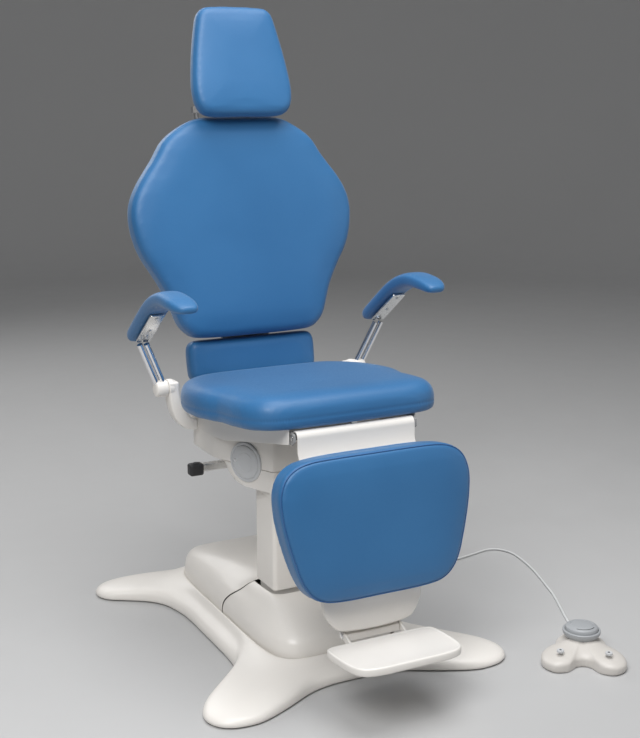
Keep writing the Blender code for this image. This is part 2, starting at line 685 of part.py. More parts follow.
def build_headrest():
    back = Frame(BACK_ORIGIN, BACK_LEAN)
    axis_n = -BACK_T / 2 - 0.0140 - 0.0240
    head = Frame(HEAD_ORIGIN, HEAD_LEAN)
    cushion("head_cushion", head, mirrored(HEAD_HALF_OUTLINE), -HEAD_T / 2, HEAD_T / 2, 0.024,
            "upholstery", 0.005)
    shell = panel("head_shell", head, offset_outline(mirrored(HEAD_HALF_OUTLINE), 0.018),
                  -HEAD_T / 2 - 0.0125, -HEAD_T / 2 - GAP, "white_shell")
    pin = back.at(0.0, HEAD_PIN_S, HEAD_PIN_N)
    # lugs on the shell carry the hinge pin
    for side, tag in ((-1, "L"), (1, "R")):
        x0, x1 = sorted((side * 0.0300, side * 0.0380))
        near = head.at(0.0, HEAD_LUG_S - 0.026, -HEAD_T / 2 - 0.0100)
        far = head.at(0.0, HEAD_LUG_S + 0.026, -HEAD_T / 2 - 0.0100)
        profile = [(near.y, near.z), (far.y, far.z), (pin.y + 0.008, pin.z + 0.012),
                   (pin.y + 0.014, pin.z), (pin.y + 0.008, pin.z - 0.012)]
        weld(shell, side_plate("weld_lug_" + tag, profile, x0, x1, "white_shell"), "lug_" + tag)
    bore(shell, pin - Vector((0.06, 0, 0)), pin + Vector((0.06, 0, 0)), 0.0056, "lugs")
    rod("head_hinge_pin", pin - Vector((0.041, 0, 0)), pin + Vector((0.041, 0, 0)), 0.0050,
        "chrome", count=16)
    # bars, cross piece and knuckle are one welded frame
    pts = [(-0.085, 0.2600), (0.085, 0.2600), (0.085, 0.2760), (-0.085, 0.2760)]
    frame = panel("head_bars", back, pts, axis_n - 0.0080, axis_n + 0.0080, "chrome")
    for side, tag in ((-1, "L"), (1, "R")):
        x = side * 0.075
        bar = rod("weld_bar_" + tag, back.at(x, -0.080, axis_n), back.at(x, 0.268, axis_n), 0.0060,
                  "chrome", count=16)
        weld(frame, bar, "bar_" + tag)
    low = back.at(0.0, 0.2640, axis_n)
    profile = [(low.y - 0.006, low.z - 0.002), (low.y + 0.006, low.z - 0.002),
               (pin.y + 0.012, pin.z - 0.004), (pin.y + 0.010, pin.z + 0.010), (pin.y, pin.z + 0.013),
               (pin.y - 0.011, pin.z + 0.006), (pin.y - 0.011, pin.z - 0.006)]
    weld(frame, side_plate("weld_knuckle", profile, -0.0290, 0.0290, "chrome"), "knuckle")
    bore(frame, pin - Vector((0.06, 0, 0)), pin + Vector((0.06, 0, 0)), 0.0056, "knuckle")


def build_leg_rest():
    frame = Frame(LEG_ORIGIN, LEG_LEAN)
    half = LEG_T / 2
    cushion("legrest_cushion", frame, mirrored(LEG_HALF_OUTLINE), -half, half, 0.026,
            "upholstery", 0.005)
    panel("legrest_shell", frame, mirrored(LEG_SHELL_HALF_OUTLINE), -half - 0.0165, -half - GAP,
          "white_shell")
    build_knee(frame, -half - 0.0165)
    build_footplate()


def build_knee(frame, shell_rear):
    """Hinge barrel, pin, two arms and the rounded knee cover."""
    y, z = KNEE_PIVOT
    barrel = sleeve("legrest_frame", (-0.1300, y, z), (0.1300, y, z), 0.0100, 0.0066, "painted_steel")
    rod("knee_pin", (-0.1540, y, z), (0.1540, y, z), 0.0060, "chrome", count=16, chamfer=0.001)
    # knee cover: an arc over the barrel and a panel running down behind the pad
    outer = []
    inner = []
    for k in range(9):
        a = math.radians(40.0 + 17.5 * k)
        outer.append((y + 0.0150 * math.cos(a), z + 0.0150 * math.sin(a)))
        inner.append((y + 0.0120 * math.cos(a), z + 0.0120 * math.sin(a)))
    foot = frame.at(0.0, -0.0300, shell_rear - 0.0010)
    outer = outer + [(y - 0.0155, z - 0.030), (foot.y, foot.z)]
    inner = inner + [(y - 0.0125, z - 0.031), (foot.y + 0.003, foot.z - 0.002)]
    side_plate("knee_cover", outer + inner[::-1], -0.1450, 0.1450, "white_shell")
    for side, tag in ((-1, "L"), (1, "R")):
        x0, x1 = sorted((side * 0.090, side * 0.100))
        low = frame.at(0.0, -0.220, shell_rear - GAP)
        high = frame.at(0.0, -0.050, shell_rear - GAP)
        profile = [(low.y, low.z), (high.y, high.z), (high.y + 0.012, high.z + 0.010),
                   (y - 0.002, z - 0.0250), (y - 0.005, z - 0.0080), (y + 0.006, z - 0.0080),
                   (high.y + 0.030, high.z - 0.020), (low.y + 0.016, low.z)]
        arm = side_plate("weld_arm_" + tag, profile, x0, x1, "painted_steel")
        weld(barrel, arm, "arm_" + tag)


def build_footplate():
    y, z = FOOT_PIN
    leg = Frame(LEG_ORIGIN, LEG_LEAN)
    block = [(-0.0410, -0.4115), (-0.0410, -0.3955), (-0.0475, -0.3930), (-0.0475, -0.3400),
             (-0.0560, -0.3400), (-0.0640, -0.3800), (-0.0640, -0.4115)]
    points = [leg.at(0.0, s, n) for n, s in block]
    made = side_plate("footplate_bracket", [(p.y, p.z) for p in points], -0.0655, 0.0655, "white_shell")
    bore(made, (-0.08, y, z), (0.08, y, z), 0.0056, "bracket")
    rod("footplate_pin", (-0.0760, y, z), (0.0760, y, z), 0.0050, "chrome", count=16, chamfer=0.001)
    tread_frame = Frame(FOOTPLATE_ORIGIN, FOOTPLATE_LEAN)
    outline = mirrored(FOOTPLATE_HALF_OUTLINE)
    inset = offset_outline(outline, 0.003)
    rings = []
    for pts, depth in ((inset, FOOTPLATE_T), (outline, FOOTPLATE_T - 0.003), (outline, 0.003), (inset, 0.0)):
        rings.append([tread_frame.at(x, -depth, forward) for x, forward in pts])
    tread = loft("footplate", rings, "white_shell")
    for side, tag in ((-1, "L"), (1, "R")):
        x0, x1 = sorted((side * 0.0665, side * 0.0725))
        ear = [(y - 0.055, z - 0.010), (y - 0.032, z - 0.015), (y - 0.008, z - 0.010),
               (y + 0.009, z - 0.007), (y + 0.0115, z), (y + 0.009, z + 0.0075),
               (y, z + 0.0125), (y - 0.012, z + 0.0095), (y - 0.026, z + 0.002),
               (y - 0.040, z - 0.003), (y - 0.055, z - 0.005)]
        weld(tread, side_plate("weld_ear_" + tag, ear, x0, x1, "white_shell"), "ear_" + tag)
    bore(tread, (-0.08, y, z), (0.08, y, z), 0.0056, "ears")


def build_arm(side, tag):
    """Casting from the chassis, then hub, tubes, bracket and pad that flip up together."""
    y, z = ARM_PIVOT
    profile = [(0.1858, 0.4985), (0.2220, 0.5060), (0.2420, 0.5270), (0.2510, 0.5550),
               (0.2555, 0.5850), (0.2555, 0.6210), (0.2480, 0.6260), (0.2370, 0.6260),
               (0.2290, 0.6210), (0.2285, 0.5850), (0.2200, 0.5500), (0.2080, 0.5300),
               (0.1858, 0.5230)]
    loft("arm_casting_" + tag, [[Vector((side * px, py, pz)) for px, pz in profile]
                                for py in (0.2070, 0.2470)], "white_shell")
    rod("arm_hub_" + tag, (side * 0.2560, y, z), (side * 0.2870, y, z), 0.0200, "white_shell",
        count=24, chamfer=0.003)
    tubes = []
    for low, high in ((0.2650, 0.3100), (0.2820, 0.3270)):
        name = "arm_stem_" + tag if not tubes else "weld_tube_" + tag
        tubes.append(rod(name, (side * low, y - 0.0015, z + 0.0245),
                         (side * high, y - 0.0185, z + 0.1165), 0.0068, "chrome", count=14))
    weld(tubes[0], tubes[1], "tube_" + tag)
    x0, x1 = sorted((side * 0.2680, side * 0.2800))
    web = box("weld_web_" + tag, (x0, y - 0.008, z + 0.0215), (x1, y + 0.004, z + 0.0340), "chrome")
    weld(tubes[0], web, "web_" + tag)
    build_arm_pad(side, tag)


def build_arm_pad(side, tag):
    along = Vector((0.0, math.cos(ARM_DROP), -math.sin(ARM_DROP)))
    out = Vector((0.0, -math.sin(ARM_DROP), -math.cos(ARM_DROP)))
    middle = Vector((side * ARM_PAD_X, 0.150, 0.800))
    pts = []
    for depth in (0.0215, 0.0255):
        base = middle + out * depth
        pts.append([base + Vector((dx, 0, 0)) + along * dl
                    for dx, dl in ((-0.018, -0.045), (0.018, -0.045), (0.018, 0.090), (-0.018, 0.090))])
    loft("arm_plate_" + tag, pts, "silver_plate")
    rings = []
    count = len(ARM_PAD_LINE)
    for k, (py, pz, half, wide) in enumerate(ARM_PAD_LINE):
        p0 = ARM_PAD_LINE[max(0, k - 1)]
        p1 = ARM_PAD_LINE[min(count - 1, k + 1)]
        d = Vector((0.0, p1[0] - p0[0], p1[1] - p0[1])).normalized()
        up = Vector((0.0, -d.z, d.y))
        centre = Vector((side * ARM_PAD_X, py, pz))
        ring = []
        for step in range(16):
            a = 2 * math.pi * step / 16
            c = math.cos(a)
            s = math.sin(a)
            scale = (abs(c) ** 3.5 + abs(s) ** 3.5) ** (-1 / 3.5)
            ring.append(centre + Vector((c * scale * wide, 0, 0)) + up * (s * scale * half))
        rings.append(ring)
    loft("arm_pad_" + tag, rings, "upholstery")


def build_lever():
    """Swivel brake lever under the patient's right side of the housing."""
    box("brake_lever", (-0.233, 0.122, 0.416), (-0.080, 0.136, 0.4340), "silver_plate", 0.002)
    rod("brake_knob", (-0.222, 0.129, 0.4345), (-0.222, 0.129, 0.4375), 0.0080, "dark_plastic",
        count=18, chamfer=0.001)
    box("brake_pad", (-0.239, 0.114, 0.403), (-0.206, 0.144, 0.4155), "grey_plastic", 0.003)


def pedal_point(x, y):
    c = math.cos(PEDAL_TURN)
    s = math.sin(PEDAL_TURN)
    return (PEDAL_CENTRE[0] + x * c - y * s, PEDAL_CENTRE[1] + x * s + y * c)


def build_foot_control():
    outline = mirrored(PEDAL_OUTLINE)

    def ring(scale, z, lift=0.0):
        pts = []
        for x, y in outline:
            px, py = pedal_point(x * scale, y * scale)
            pts.append(Vector((px, py, z + lift * max(0.0, y) / 0.100)))
        return pts

    rings = [ring(0.97, 0.0), ring(1.0, 0.006), ring(0.99, 0.018), ring(0.90, 0.028, 0.006),
             ring(0.74, 0.0345, 0.012), ring(0.50, 0.0375, 0.014)]
    loft("pedal_body", rings, "white_shell")
    cx, cy = pedal_point(0.0, 0.046)
    sleeve("pedal_collar", (cx, cy, 0.0525), (cx, cy, 0.0570), 0.0450, 0.0400, "grey_plastic", count=28)
    rings = []
    for z, radius in ((0.0550, 0.0390), (0.0620, 0.0390), (0.0660, 0.0360), (0.0690, 0.0280),
                      (0.0700, 0.0160)):
        rings.append([Vector((cx + radius * math.cos(2 * math.pi * k / 28),
                              cy + radius * math.sin(2 * math.pi * k / 28), z)) for k in range(28)])
    loft("pedal_dome", rings, "grey_plastic")
    for side, tag in ((-1, "L"), (1, "R")):
        bx, by = pedal_point(side * 0.055, -0.047)
        rod("pedal_button_" + tag, (bx, by, 0.0392), (bx, by, 0.0437), 0.0085, "grey_plastic",
            count=18, chamfer=0.001)


def smooth_route(points, step):
    """Evenly spaced points along a Catmull-Rom curve through the route."""
    pts = [Vector(p) for p in points]
    ends = [pts[0] * 2 - pts[1]] + pts + [pts[-1] * 2 - pts[-2]]
    dense = []
    for k in range(1, len(ends) - 2):
        p0, p1, p2, p3 = ends[k - 1:k + 3]
        for j in range(40):
            t = j / 40.0
            dense.append(0.5 * ((2 * p1) + (p2 - p0) * t + (2 * p0 - 5 * p1 + 4 * p2 - p3) * t * t
                                + (3 * p1 - p0 - 3 * p2 + p3) * t ** 3))
    dense.append(pts[-1])
    total = sum((b - a).length for a, b in zip(dense, dense[1:]))
    count = int(total / step)
    out = [dense[0]]
    run = 0.0
    target = total / count
    for a, b in zip(dense, dense[1:]):
        gap = (b - a).length
        while run + gap >= target * len(out) - 1e-9 and len(out) < count:
            out.append(a.lerp(b, (target * len(out) - run) / gap))
        run += gap
    out.append(dense[-1])
    return out


def build_cord():
    """Foot control cord, from the gland over the base edge and along the floor."""
    end_x, end_y = pedal_point(0.003, 0.1025)
    floor = CORD_R + 0.0004
    route = [
        (RIM_HALF + 0.0190, 0.205, 0.0640), (RIM_HALF + 0.040, 0.206, 0.0560), (0.245, 0.210, 0.022),
        (0.280, 0.214, floor + 0.001), (0.340, 0.222, floor), (0.460, 0.240, floor),
        (0.577, 0.252, floor), (0.628, 0.257, floor), (0.683, 0.268, floor), (0.725, 0.276, floor),
        (0.757, 0.268, floor), (0.776, 0.236, floor), (0.778, 0.193, floor), (0.757, 0.092, floor),
        (0.717, -0.025, floor), (0.698, -0.077, floor), (0.665, -0.148, floor),
        (0.640, -0.200, floor), (0.615, -0.257, floor), (0.603, -0.298, floor + 0.002),
        (end_x, end_y, 0.0140),
    ]
    curve = bpy.data.curves.new("foot_cord", "CURVE")
    curve.dimensions = "3D"
    curve.bevel_depth = CORD_R
    curve.bevel_resolution = 2
    curve.render_resolution_u = 0
    curve.resolution_u = 1
    curve.use_fill_caps = True
    line = curve.splines.new("POLY")
    pts = smooth_route(route, 0.0175)
    line.points.add(len(pts) - 1)
    for slot, p in zip(line.points, pts):
        slot.co = (p.x, p.y, p.z, 1.0)
    curve.materials.append(material("cord_pvc"))
    bpy.context.scene.collection.objects.link(bpy.data.objects.new("foot_cord", curve))


def main():
    clear_scene()
    build_base()
    build_covers()
    build_column()
    build_cord_gland()
    build_seat()
    build_housing()
    build_back()
    build_headrest()
    build_leg_rest()
    for side, tag in ((-1, "L"), (1, "R")):
        build_arm(side, tag)
    build_lever()
    build_foot_control()
    build_cord()


main()
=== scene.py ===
"""Looks of the powered examination chair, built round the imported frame. Metres, +Z up, front -Y."""
import json
import math

import bmesh
import bpy
import numpy as np
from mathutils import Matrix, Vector
from mathutils.bvhtree import BVHTree
from mathutils.kdtree import KDTree

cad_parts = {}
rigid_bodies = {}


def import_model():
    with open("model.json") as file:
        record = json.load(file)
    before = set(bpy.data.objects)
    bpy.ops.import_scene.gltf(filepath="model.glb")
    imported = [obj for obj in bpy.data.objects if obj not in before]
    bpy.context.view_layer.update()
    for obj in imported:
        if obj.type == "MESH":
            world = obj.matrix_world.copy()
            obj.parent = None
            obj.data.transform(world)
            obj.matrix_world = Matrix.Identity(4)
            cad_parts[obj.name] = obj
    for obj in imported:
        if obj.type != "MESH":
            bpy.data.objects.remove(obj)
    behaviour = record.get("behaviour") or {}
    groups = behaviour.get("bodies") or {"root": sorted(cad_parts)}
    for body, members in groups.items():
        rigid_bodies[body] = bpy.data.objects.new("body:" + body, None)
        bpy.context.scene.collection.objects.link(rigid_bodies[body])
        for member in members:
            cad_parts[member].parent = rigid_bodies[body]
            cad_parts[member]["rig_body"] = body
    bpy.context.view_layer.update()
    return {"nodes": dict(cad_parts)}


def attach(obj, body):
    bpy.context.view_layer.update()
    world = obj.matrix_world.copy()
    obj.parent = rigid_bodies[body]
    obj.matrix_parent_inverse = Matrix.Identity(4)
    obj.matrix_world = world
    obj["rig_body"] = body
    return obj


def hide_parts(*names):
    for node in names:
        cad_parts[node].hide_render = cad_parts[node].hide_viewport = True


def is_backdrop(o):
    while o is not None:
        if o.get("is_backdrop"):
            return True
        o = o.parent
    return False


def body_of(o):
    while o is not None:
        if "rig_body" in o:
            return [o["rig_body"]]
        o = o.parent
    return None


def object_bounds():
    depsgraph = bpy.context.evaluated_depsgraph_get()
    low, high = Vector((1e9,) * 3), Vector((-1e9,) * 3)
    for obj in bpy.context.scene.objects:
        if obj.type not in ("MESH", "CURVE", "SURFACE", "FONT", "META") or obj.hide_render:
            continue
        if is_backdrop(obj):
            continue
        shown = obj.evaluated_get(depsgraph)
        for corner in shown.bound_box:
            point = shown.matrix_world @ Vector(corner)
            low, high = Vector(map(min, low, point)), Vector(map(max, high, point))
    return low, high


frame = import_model()
NODES = frame["nodes"]
SCENE = bpy.context.scene


# ------------------------------------------------------------------ curves and outlines
def smooth_line(points, count, closed=False):
    """Evenly spaced points on a Catmull-Rom curve through the given points."""
    pts = np.array(points, float)
    if closed:
        ends = np.vstack([pts[-1:], pts, pts[:2]])
    else:
        ends = np.vstack([2 * pts[:1] - pts[1:2], pts, 2 * pts[-1:] - pts[-2:-1]])
    t = np.linspace(0, 1, 24, endpoint=False)[:, None]
    dense = []
    for k in range(1, len(ends) - 2):
        p0, p1, p2, p3 = ends[k - 1:k + 3]
        dense.append(0.5 * (2 * p1 + (p2 - p0) * t + (2 * p0 - 5 * p1 + 4 * p2 - p3) * t ** 2
                            + (3 * p1 - p0 - 3 * p2 + p3) * t ** 3))
    dense = np.vstack(dense + [ends[-2:-1] if not closed else pts[:1]])
    run = np.concatenate([[0], np.cumsum(np.linalg.norm(np.diff(dense, axis=0), axis=1))])
    spots = np.linspace(0, run[-1], count + 1)[:-1] if closed else np.linspace(0, run[-1], count)
    return np.stack([np.interp(spots, run, dense[:, k]) for k in range(dense.shape[1])], 1)


def mirrored(half):
    return [tuple(p) for p in half] + [(-x, y) for x, y in reversed(half[1:-1])]


def inset(loop, distance):
    """A closed outline moved inwards."""
    ahead = np.roll(loop, -1, 0) - np.roll(loop, 1, 0)
    ahead /= np.linalg.norm(ahead, axis=1)[:, None] + 1e-12
    area = np.sum(loop[:, 0] * np.roll(loop[:, 1], -1) - np.roll(loop[:, 0], -1) * loop[:, 1])
    side = np.stack([-ahead[:, 1], ahead[:, 0]], 1) * (1 if area > 0 else -1)
    return loop + side * distance


def round_rect(x0, x1, y0, y1, radius, steps=8):
    pts = []
    for cx, cy, start in ((x1 - radius, y1 - radius, 0), (x0 + radius, y1 - radius, 90),
                          (x0 + radius, y0 + radius, 180), (x1 - radius, y0 + radius, 270)):
        for k in range(steps + 1):
            a = math.radians(start + 90 * k / steps)
            pts.append((cx + radius * math.cos(a), cy + radius * math.sin(a)))
    return np.array(pts)


class Lean:
    """Leaning panel frame: s runs up the panel, n points forwards out of it."""

    def __init__(self, origin, degrees):
        a = math.radians(degrees)
        self.origin = np.array(origin, float)
        self.up = np.array((0, math.sin(a), math.cos(a)))
        self.out = np.array((0, -math.cos(a), math.sin(a)))

    def at(self, x, s, n):
        x, s, n = np.broadcast_arrays(np.asarray(x, float), s, n)
        return (self.origin + x[..., None] * np.array((1.0, 0, 0)) + s[..., None] * self.up
                + n[..., None] * self.out)


# ------------------------------------------------------------------ meshes
def piece(name, verts, faces, finish, body, nodes=(), sharp=40):
    mesh = bpy.data.meshes.new(name)
    mesh.from_pydata([tuple(v) for v in verts], [], faces)
    mesh.update()
    obj = bpy.data.objects.new(name, mesh)
    SCENE.collection.objects.link(obj)
    dress(obj, finish, body, nodes)
    fix_normals(obj)
    mesh.shade_smooth()
    if sharp:
        mesh.set_sharp_from_angle(angle=math.radians(sharp))
    return obj


def dress(obj, finish, body, nodes=()):
    obj.data.materials.clear()
    obj.data.materials.append(MATERIALS[finish])
    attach(obj, body)
    if nodes:
        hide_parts(*nodes)


def fix_normals(obj):
    """Turn a closed mesh the right way out."""
    bm = bmesh.new()
    bm.from_mesh(obj.data)
    bmesh.ops.recalc_face_normals(bm, faces=bm.faces)
    bm.to_mesh(obj.data)
    bm.free()


def rings_mesh(rings, cyclic=False):
    """Vertices and faces of a skin over equal rings, with flat caps unless it is cyclic."""
    count = len(rings[0])
    verts = np.vstack(rings)
    faces = []
    pairs = [(k, k + 1) for k in range(len(rings) - 1)]
    if cyclic:
        pairs.append((len(rings) - 1, 0))
    for a, b in pairs:
        for i in range(count):
            j = (i + 1) % count
            faces.append((a * count + i, a * count + j, b * count + j, b * count + i))
    if not cyclic:
        faces.append(tuple(range(count))[::-1])
        faces.append(tuple(range((len(rings) - 1) * count, len(rings) * count)))
    return verts, faces


def prism(name, loop, place, h0, h1, edge, finish, body, nodes=(), steps=4):
    """Slab with rounded rims: the outline in two axes, from h0 to h1 along the third."""
    rings = []
    for k in range(steps + 1):
        a = math.pi / 2 * k / steps
        rings.append(place(inset(loop, edge * (1 - math.sin(a))), h0 + edge * (1 - math.cos(a))))
    for k in range(steps + 1):
        a = math.pi / 2 * k / steps
        rings.append(place(inset(loop, edge * (1 - math.cos(a))), h1 - edge * (1 - math.sin(a))))
    return piece(name, *rings_mesh(rings), finish, body, nodes)


def upright(loop, h):
    return np.column_stack([loop, np.full(len(loop), h)])


def sideways(loop, h):
    """Outline in y and z, thickness along x."""
    return np.column_stack([np.full(len(loop), h), loop])


def sweep(path, radius, sides=24):
    """Round tube along a path."""
    path = np.array(path, float)
    ahead = np.gradient(path, axis=0)
    ahead /= np.linalg.norm(ahead, axis=1)[:, None]
    side = np.cross(ahead[0], (0.3, 0.2, 0.93))
    rings = []
    radii = np.broadcast_to(radius, len(path))
    for p, d, r in zip(path, ahead, radii):
        side = side - d * side.dot(d)
        side /= np.linalg.norm(side)
        other = np.cross(d, side)
        a = np.linspace(0, 2 * math.pi, sides, endpoint=False)[:, None]
        rings.append(p + r * (np.cos(a) * side + np.sin(a) * other))
    return rings_mesh(rings)


def disc_ring(centre, ahead, radius, sides):
    """Circle square to a direction."""
    side = np.cross(ahead, (0.3, 0.2, 0.93))
    side /= np.linalg.norm(side)
    a = np.linspace(0, 2 * math.pi, sides, endpoint=False)[:, None]
    return centre + radius * (np.cos(a) * side + np.sin(a) * np.cross(ahead, side))


def turned(name, start, axis, profile, finish, body, nodes=(), sides=48):
    """Lathe form: pairs of distance along the axis and radius."""
    axis = np.array(axis, float) / np.linalg.norm(axis)
    start = np.array(start, float)
    rings = [disc_ring(start + axis * d, axis, r, sides) for d, r in profile]
    return piece(name, *rings_mesh(rings), finish, body, nodes, sharp=30)


def bevel(obj, width, segments=3, angle=35):
    mod = obj.modifiers.new("edges", "BEVEL")
    mod.width = width
    mod.segments = segments
    mod.limit_method = "ANGLE"
    mod.angle_limit = math.radians(angle)
    mod.harden_normals = True
    return obj


def refine(node, finish, width=0.0012):
    """Better finish and soft edges on a CAD node whose shape is right."""
    obj = NODES[node]
    for slot in obj.material_slots:
        slot.material = MATERIALS[finish]
    if width:
        weld = obj.modifiers.new("weld", "WELD")
        weld.merge_threshold = 0.00002
        bevel(obj, width)
    return obj


# ------------------------------------------------------------------ materials
def shader(name, colour, rough, metal=0.0, **sockets):
    mat = bpy.data.materials.new(name)
    mat.use_nodes = True
    mat.diffuse_color = (*colour, 1.0)
    bsdf = mat.node_tree.nodes["Principled BSDF"]
    bsdf.inputs["Base Color"].default_value = (*colour, 1.0)
    bsdf.inputs["Roughness"].default_value = rough
    bsdf.inputs["Metallic"].default_value = metal
    for key, value in sockets.items():
        bsdf.inputs[key.replace("_", " ")].default_value = value
    return mat, mat.node_tree, bsdf


def node(tree, kind, **values):
    made = tree.nodes.new(kind)
    for key, value in values.items():
        if hasattr(made, key):
            setattr(made, key, value)
        else:
            made.inputs[key.replace("_", " ")].default_value = value
    return made


def noise(tree, at, scale, detail, **values):
    """Fine noise at a place in the object's own axes."""
    made = node(tree, "ShaderNodeTexNoise", Scale=scale, Detail=detail, **values)
    tree.links.new(at, made.inputs["Vector"])
    return made


def bumped(tree, bsdf, sources):
    """Stack bumps of (height, strength, distance), the coarse ones first."""
    normal = None
    for source, strength, depth in sources:
        bump = node(tree, "ShaderNodeBump", Strength=strength, Distance=depth)
        tree.links.new(source, bump.inputs["Height"])
        if normal is not None:
            tree.links.new(normal, bump.inputs["Normal"])
        normal = bump.outputs["Normal"]
    tree.links.new(normal, bsdf.inputs["Normal"])


def position(tree, stretch=(1, 1, 1)):
    coord = node(tree, "ShaderNodeTexCoord")
    mapping = node(tree, "ShaderNodeMapping")
    mapping.inputs["Scale"].default_value = stretch
    tree.links.new(coord.outputs["Object"], mapping.inputs["Vector"])
    return mapping.outputs["Vector"]


def ramped(tree, source, stops):
    """Colour or grey ramp driven by a texture."""
    ramp = node(tree, "ShaderNodeValToRGB")
    elements = ramp.color_ramp.elements
    for k, (place, colour) in enumerate(stops):
        item = elements[k] if k < 2 else elements.new(place)
        item.position = place
        item.color = (*colour, 1.0) if len(colour) == 3 else colour
    tree.links.new(source, ramp.inputs["Fac"])
    return ramp.outputs["Color"]


def surface(name, colour, rough, metal=0.0, spread=0.05, patch=6.0, rough_spread=0.06,
            bumps=((300.0, 0.10, 0.0002),), stretch=(1, 1, 1), **sockets):
    """Base finish: colour and roughness drift over the surface, with fine relief."""
    mat, tree, bsdf = shader(name, colour, rough, metal, **sockets)
    at = position(tree, stretch)
    drift = noise(tree, at, patch, 4.0, Roughness=0.55)
    low = tuple(c * (1 - spread) for c in colour)
    high = tuple(min(1.0, c * (1 + spread)) for c in colour)
    tree.links.new(ramped(tree, drift.outputs["Fac"], [(0.30, low), (0.70, high)]),
                   bsdf.inputs["Base Color"])
    fine = noise(tree, at, patch * 9, 5.0, Roughness=0.6)
    a, b = rough - rough_spread, rough + rough_spread
    tree.links.new(ramped(tree, fine.outputs["Fac"], [(0.30, (a, a, a)), (0.70, (b, b, b))]),
                   bsdf.inputs["Roughness"])
    bumped(tree, bsdf, [(noise(tree, at, scale, 3.0, Roughness=0.5).outputs["Fac"], strength, depth)
                        for scale, strength, depth in bumps])
    return mat


def leather(name, dark, light):
    """Synthetic leather: pebbled grain, soft creases, slow colour drift and a faint sheen."""
    mat, tree, bsdf = shader(name, light, 0.48, Sheen_Weight=0.22, Sheen_Roughness=0.4,
                             Specular_IOR_Level=0.62)
    at = position(tree)
    drift = noise(tree, at, 4.0, 3.0, Roughness=0.5)
    pebble = node(tree, "ShaderNodeTexVoronoi", Scale=620.0, Randomness=1.0)
    pebble.feature = "SMOOTH_F1"
    tree.links.new(at, pebble.inputs["Vector"])
    cracks = noise(tree, at, 210.0, 4.0, Roughness=0.6)
    crease = noise(tree, at, 26.0, 2.0, Distortion=0.6)
    tree.links.new(ramped(tree, drift.outputs["Fac"], [(0.35, dark), (0.65, light)]),
                   bsdf.inputs["Base Color"])
    tree.links.new(ramped(tree, cracks.outputs["Fac"],
                          [(0.3, (0.44, 0.44, 0.44)), (0.7, (0.58, 0.58, 0.58))]),
                   bsdf.inputs["Roughness"])
    bumped(tree, bsdf, [(crease.outputs["Fac"], 0.10, 0.0010),
                        (cracks.outputs["Fac"], 0.16, 0.0003),
                        (pebble.outputs["Distance"], 0.22, 0.0003)])
    return mat


MATERIALS = {
    "leather": leather("blue_leatherette", (0.018, 0.128, 0.312), (0.024, 0.145, 0.342)),
    "piping": leather("blue_piping", (0.016, 0.095, 0.270), (0.022, 0.112, 0.300)),
    "white": surface("warm_white_shell", (0.835, 0.803, 0.758), 0.34, spread=0.015, patch=5.0,
                     bumps=((420.0, 0.05, 0.0002), (60.0, 0.02, 0.0004)), Coat_Weight=0.15,
                     Coat_Roughness=0.2),
    "powder": surface("warm_white_powder_coat", (0.845, 0.812, 0.766), 0.36, spread=0.015,
                      bumps=((240.0, 0.12, 0.0003), (700.0, 0.05, 0.0001))),
    "control": surface("foot_control_shell", (0.640, 0.610, 0.572), 0.40, spread=0.015,
                       bumps=((500.0, 0.06, 0.0002),)),
    "grey_paint": surface("grey_paint", (0.33, 0.33, 0.325), 0.45, spread=0.04,
                          bumps=((260.0, 0.12, 0.0003),)),
    "grey": surface("grey_moulding", (0.375, 0.390, 0.405), 0.42, spread=0.02,
                    bumps=((700.0, 0.12, 0.0002),)),
    "pale_grey": surface("pale_grey_moulding", (0.600, 0.610, 0.620), 0.38, spread=0.02,
                         bumps=((700.0, 0.10, 0.0002),)),
    "dark": surface("black_moulding", (0.022, 0.022, 0.024), 0.48, spread=0.10,
                    bumps=((800.0, 0.16, 0.0002),)),
    "silver": surface("satin_silver", (0.74, 0.75, 0.76), 0.26, 1.0, spread=0.015, patch=8.0,
                      rough_spread=0.03, bumps=((500.0, 0.04, 0.0001),), stretch=(1, 0.15, 1)),
    "steel": surface("machined_steel", (0.60, 0.60, 0.60), 0.24, 1.0, spread=0.05,
                     bumps=((600.0, 0.10, 0.0001),), stretch=(0.2, 1, 1)),
    "chrome": surface("chrome", (0.82, 0.82, 0.83), 0.08, 1.0, spread=0.01, rough_spread=0.03,
                      bumps=((90.0, 0.02, 0.0001),)),
    "pvc": surface("cord_sheath", (0.66, 0.67, 0.67), 0.48, spread=0.04,
                   bumps=((900.0, 0.12, 0.0002),)),
}

# ------------------------------------------------------------------ camera, light, floor
CAMERA_AT = (-1.27696, -2.572, 1.31588)
CAMERA_AZIMUTH = -27.187
CAMERA_PITCH = 12.669
FOCAL_MM = 1260.2 / 738 * 36


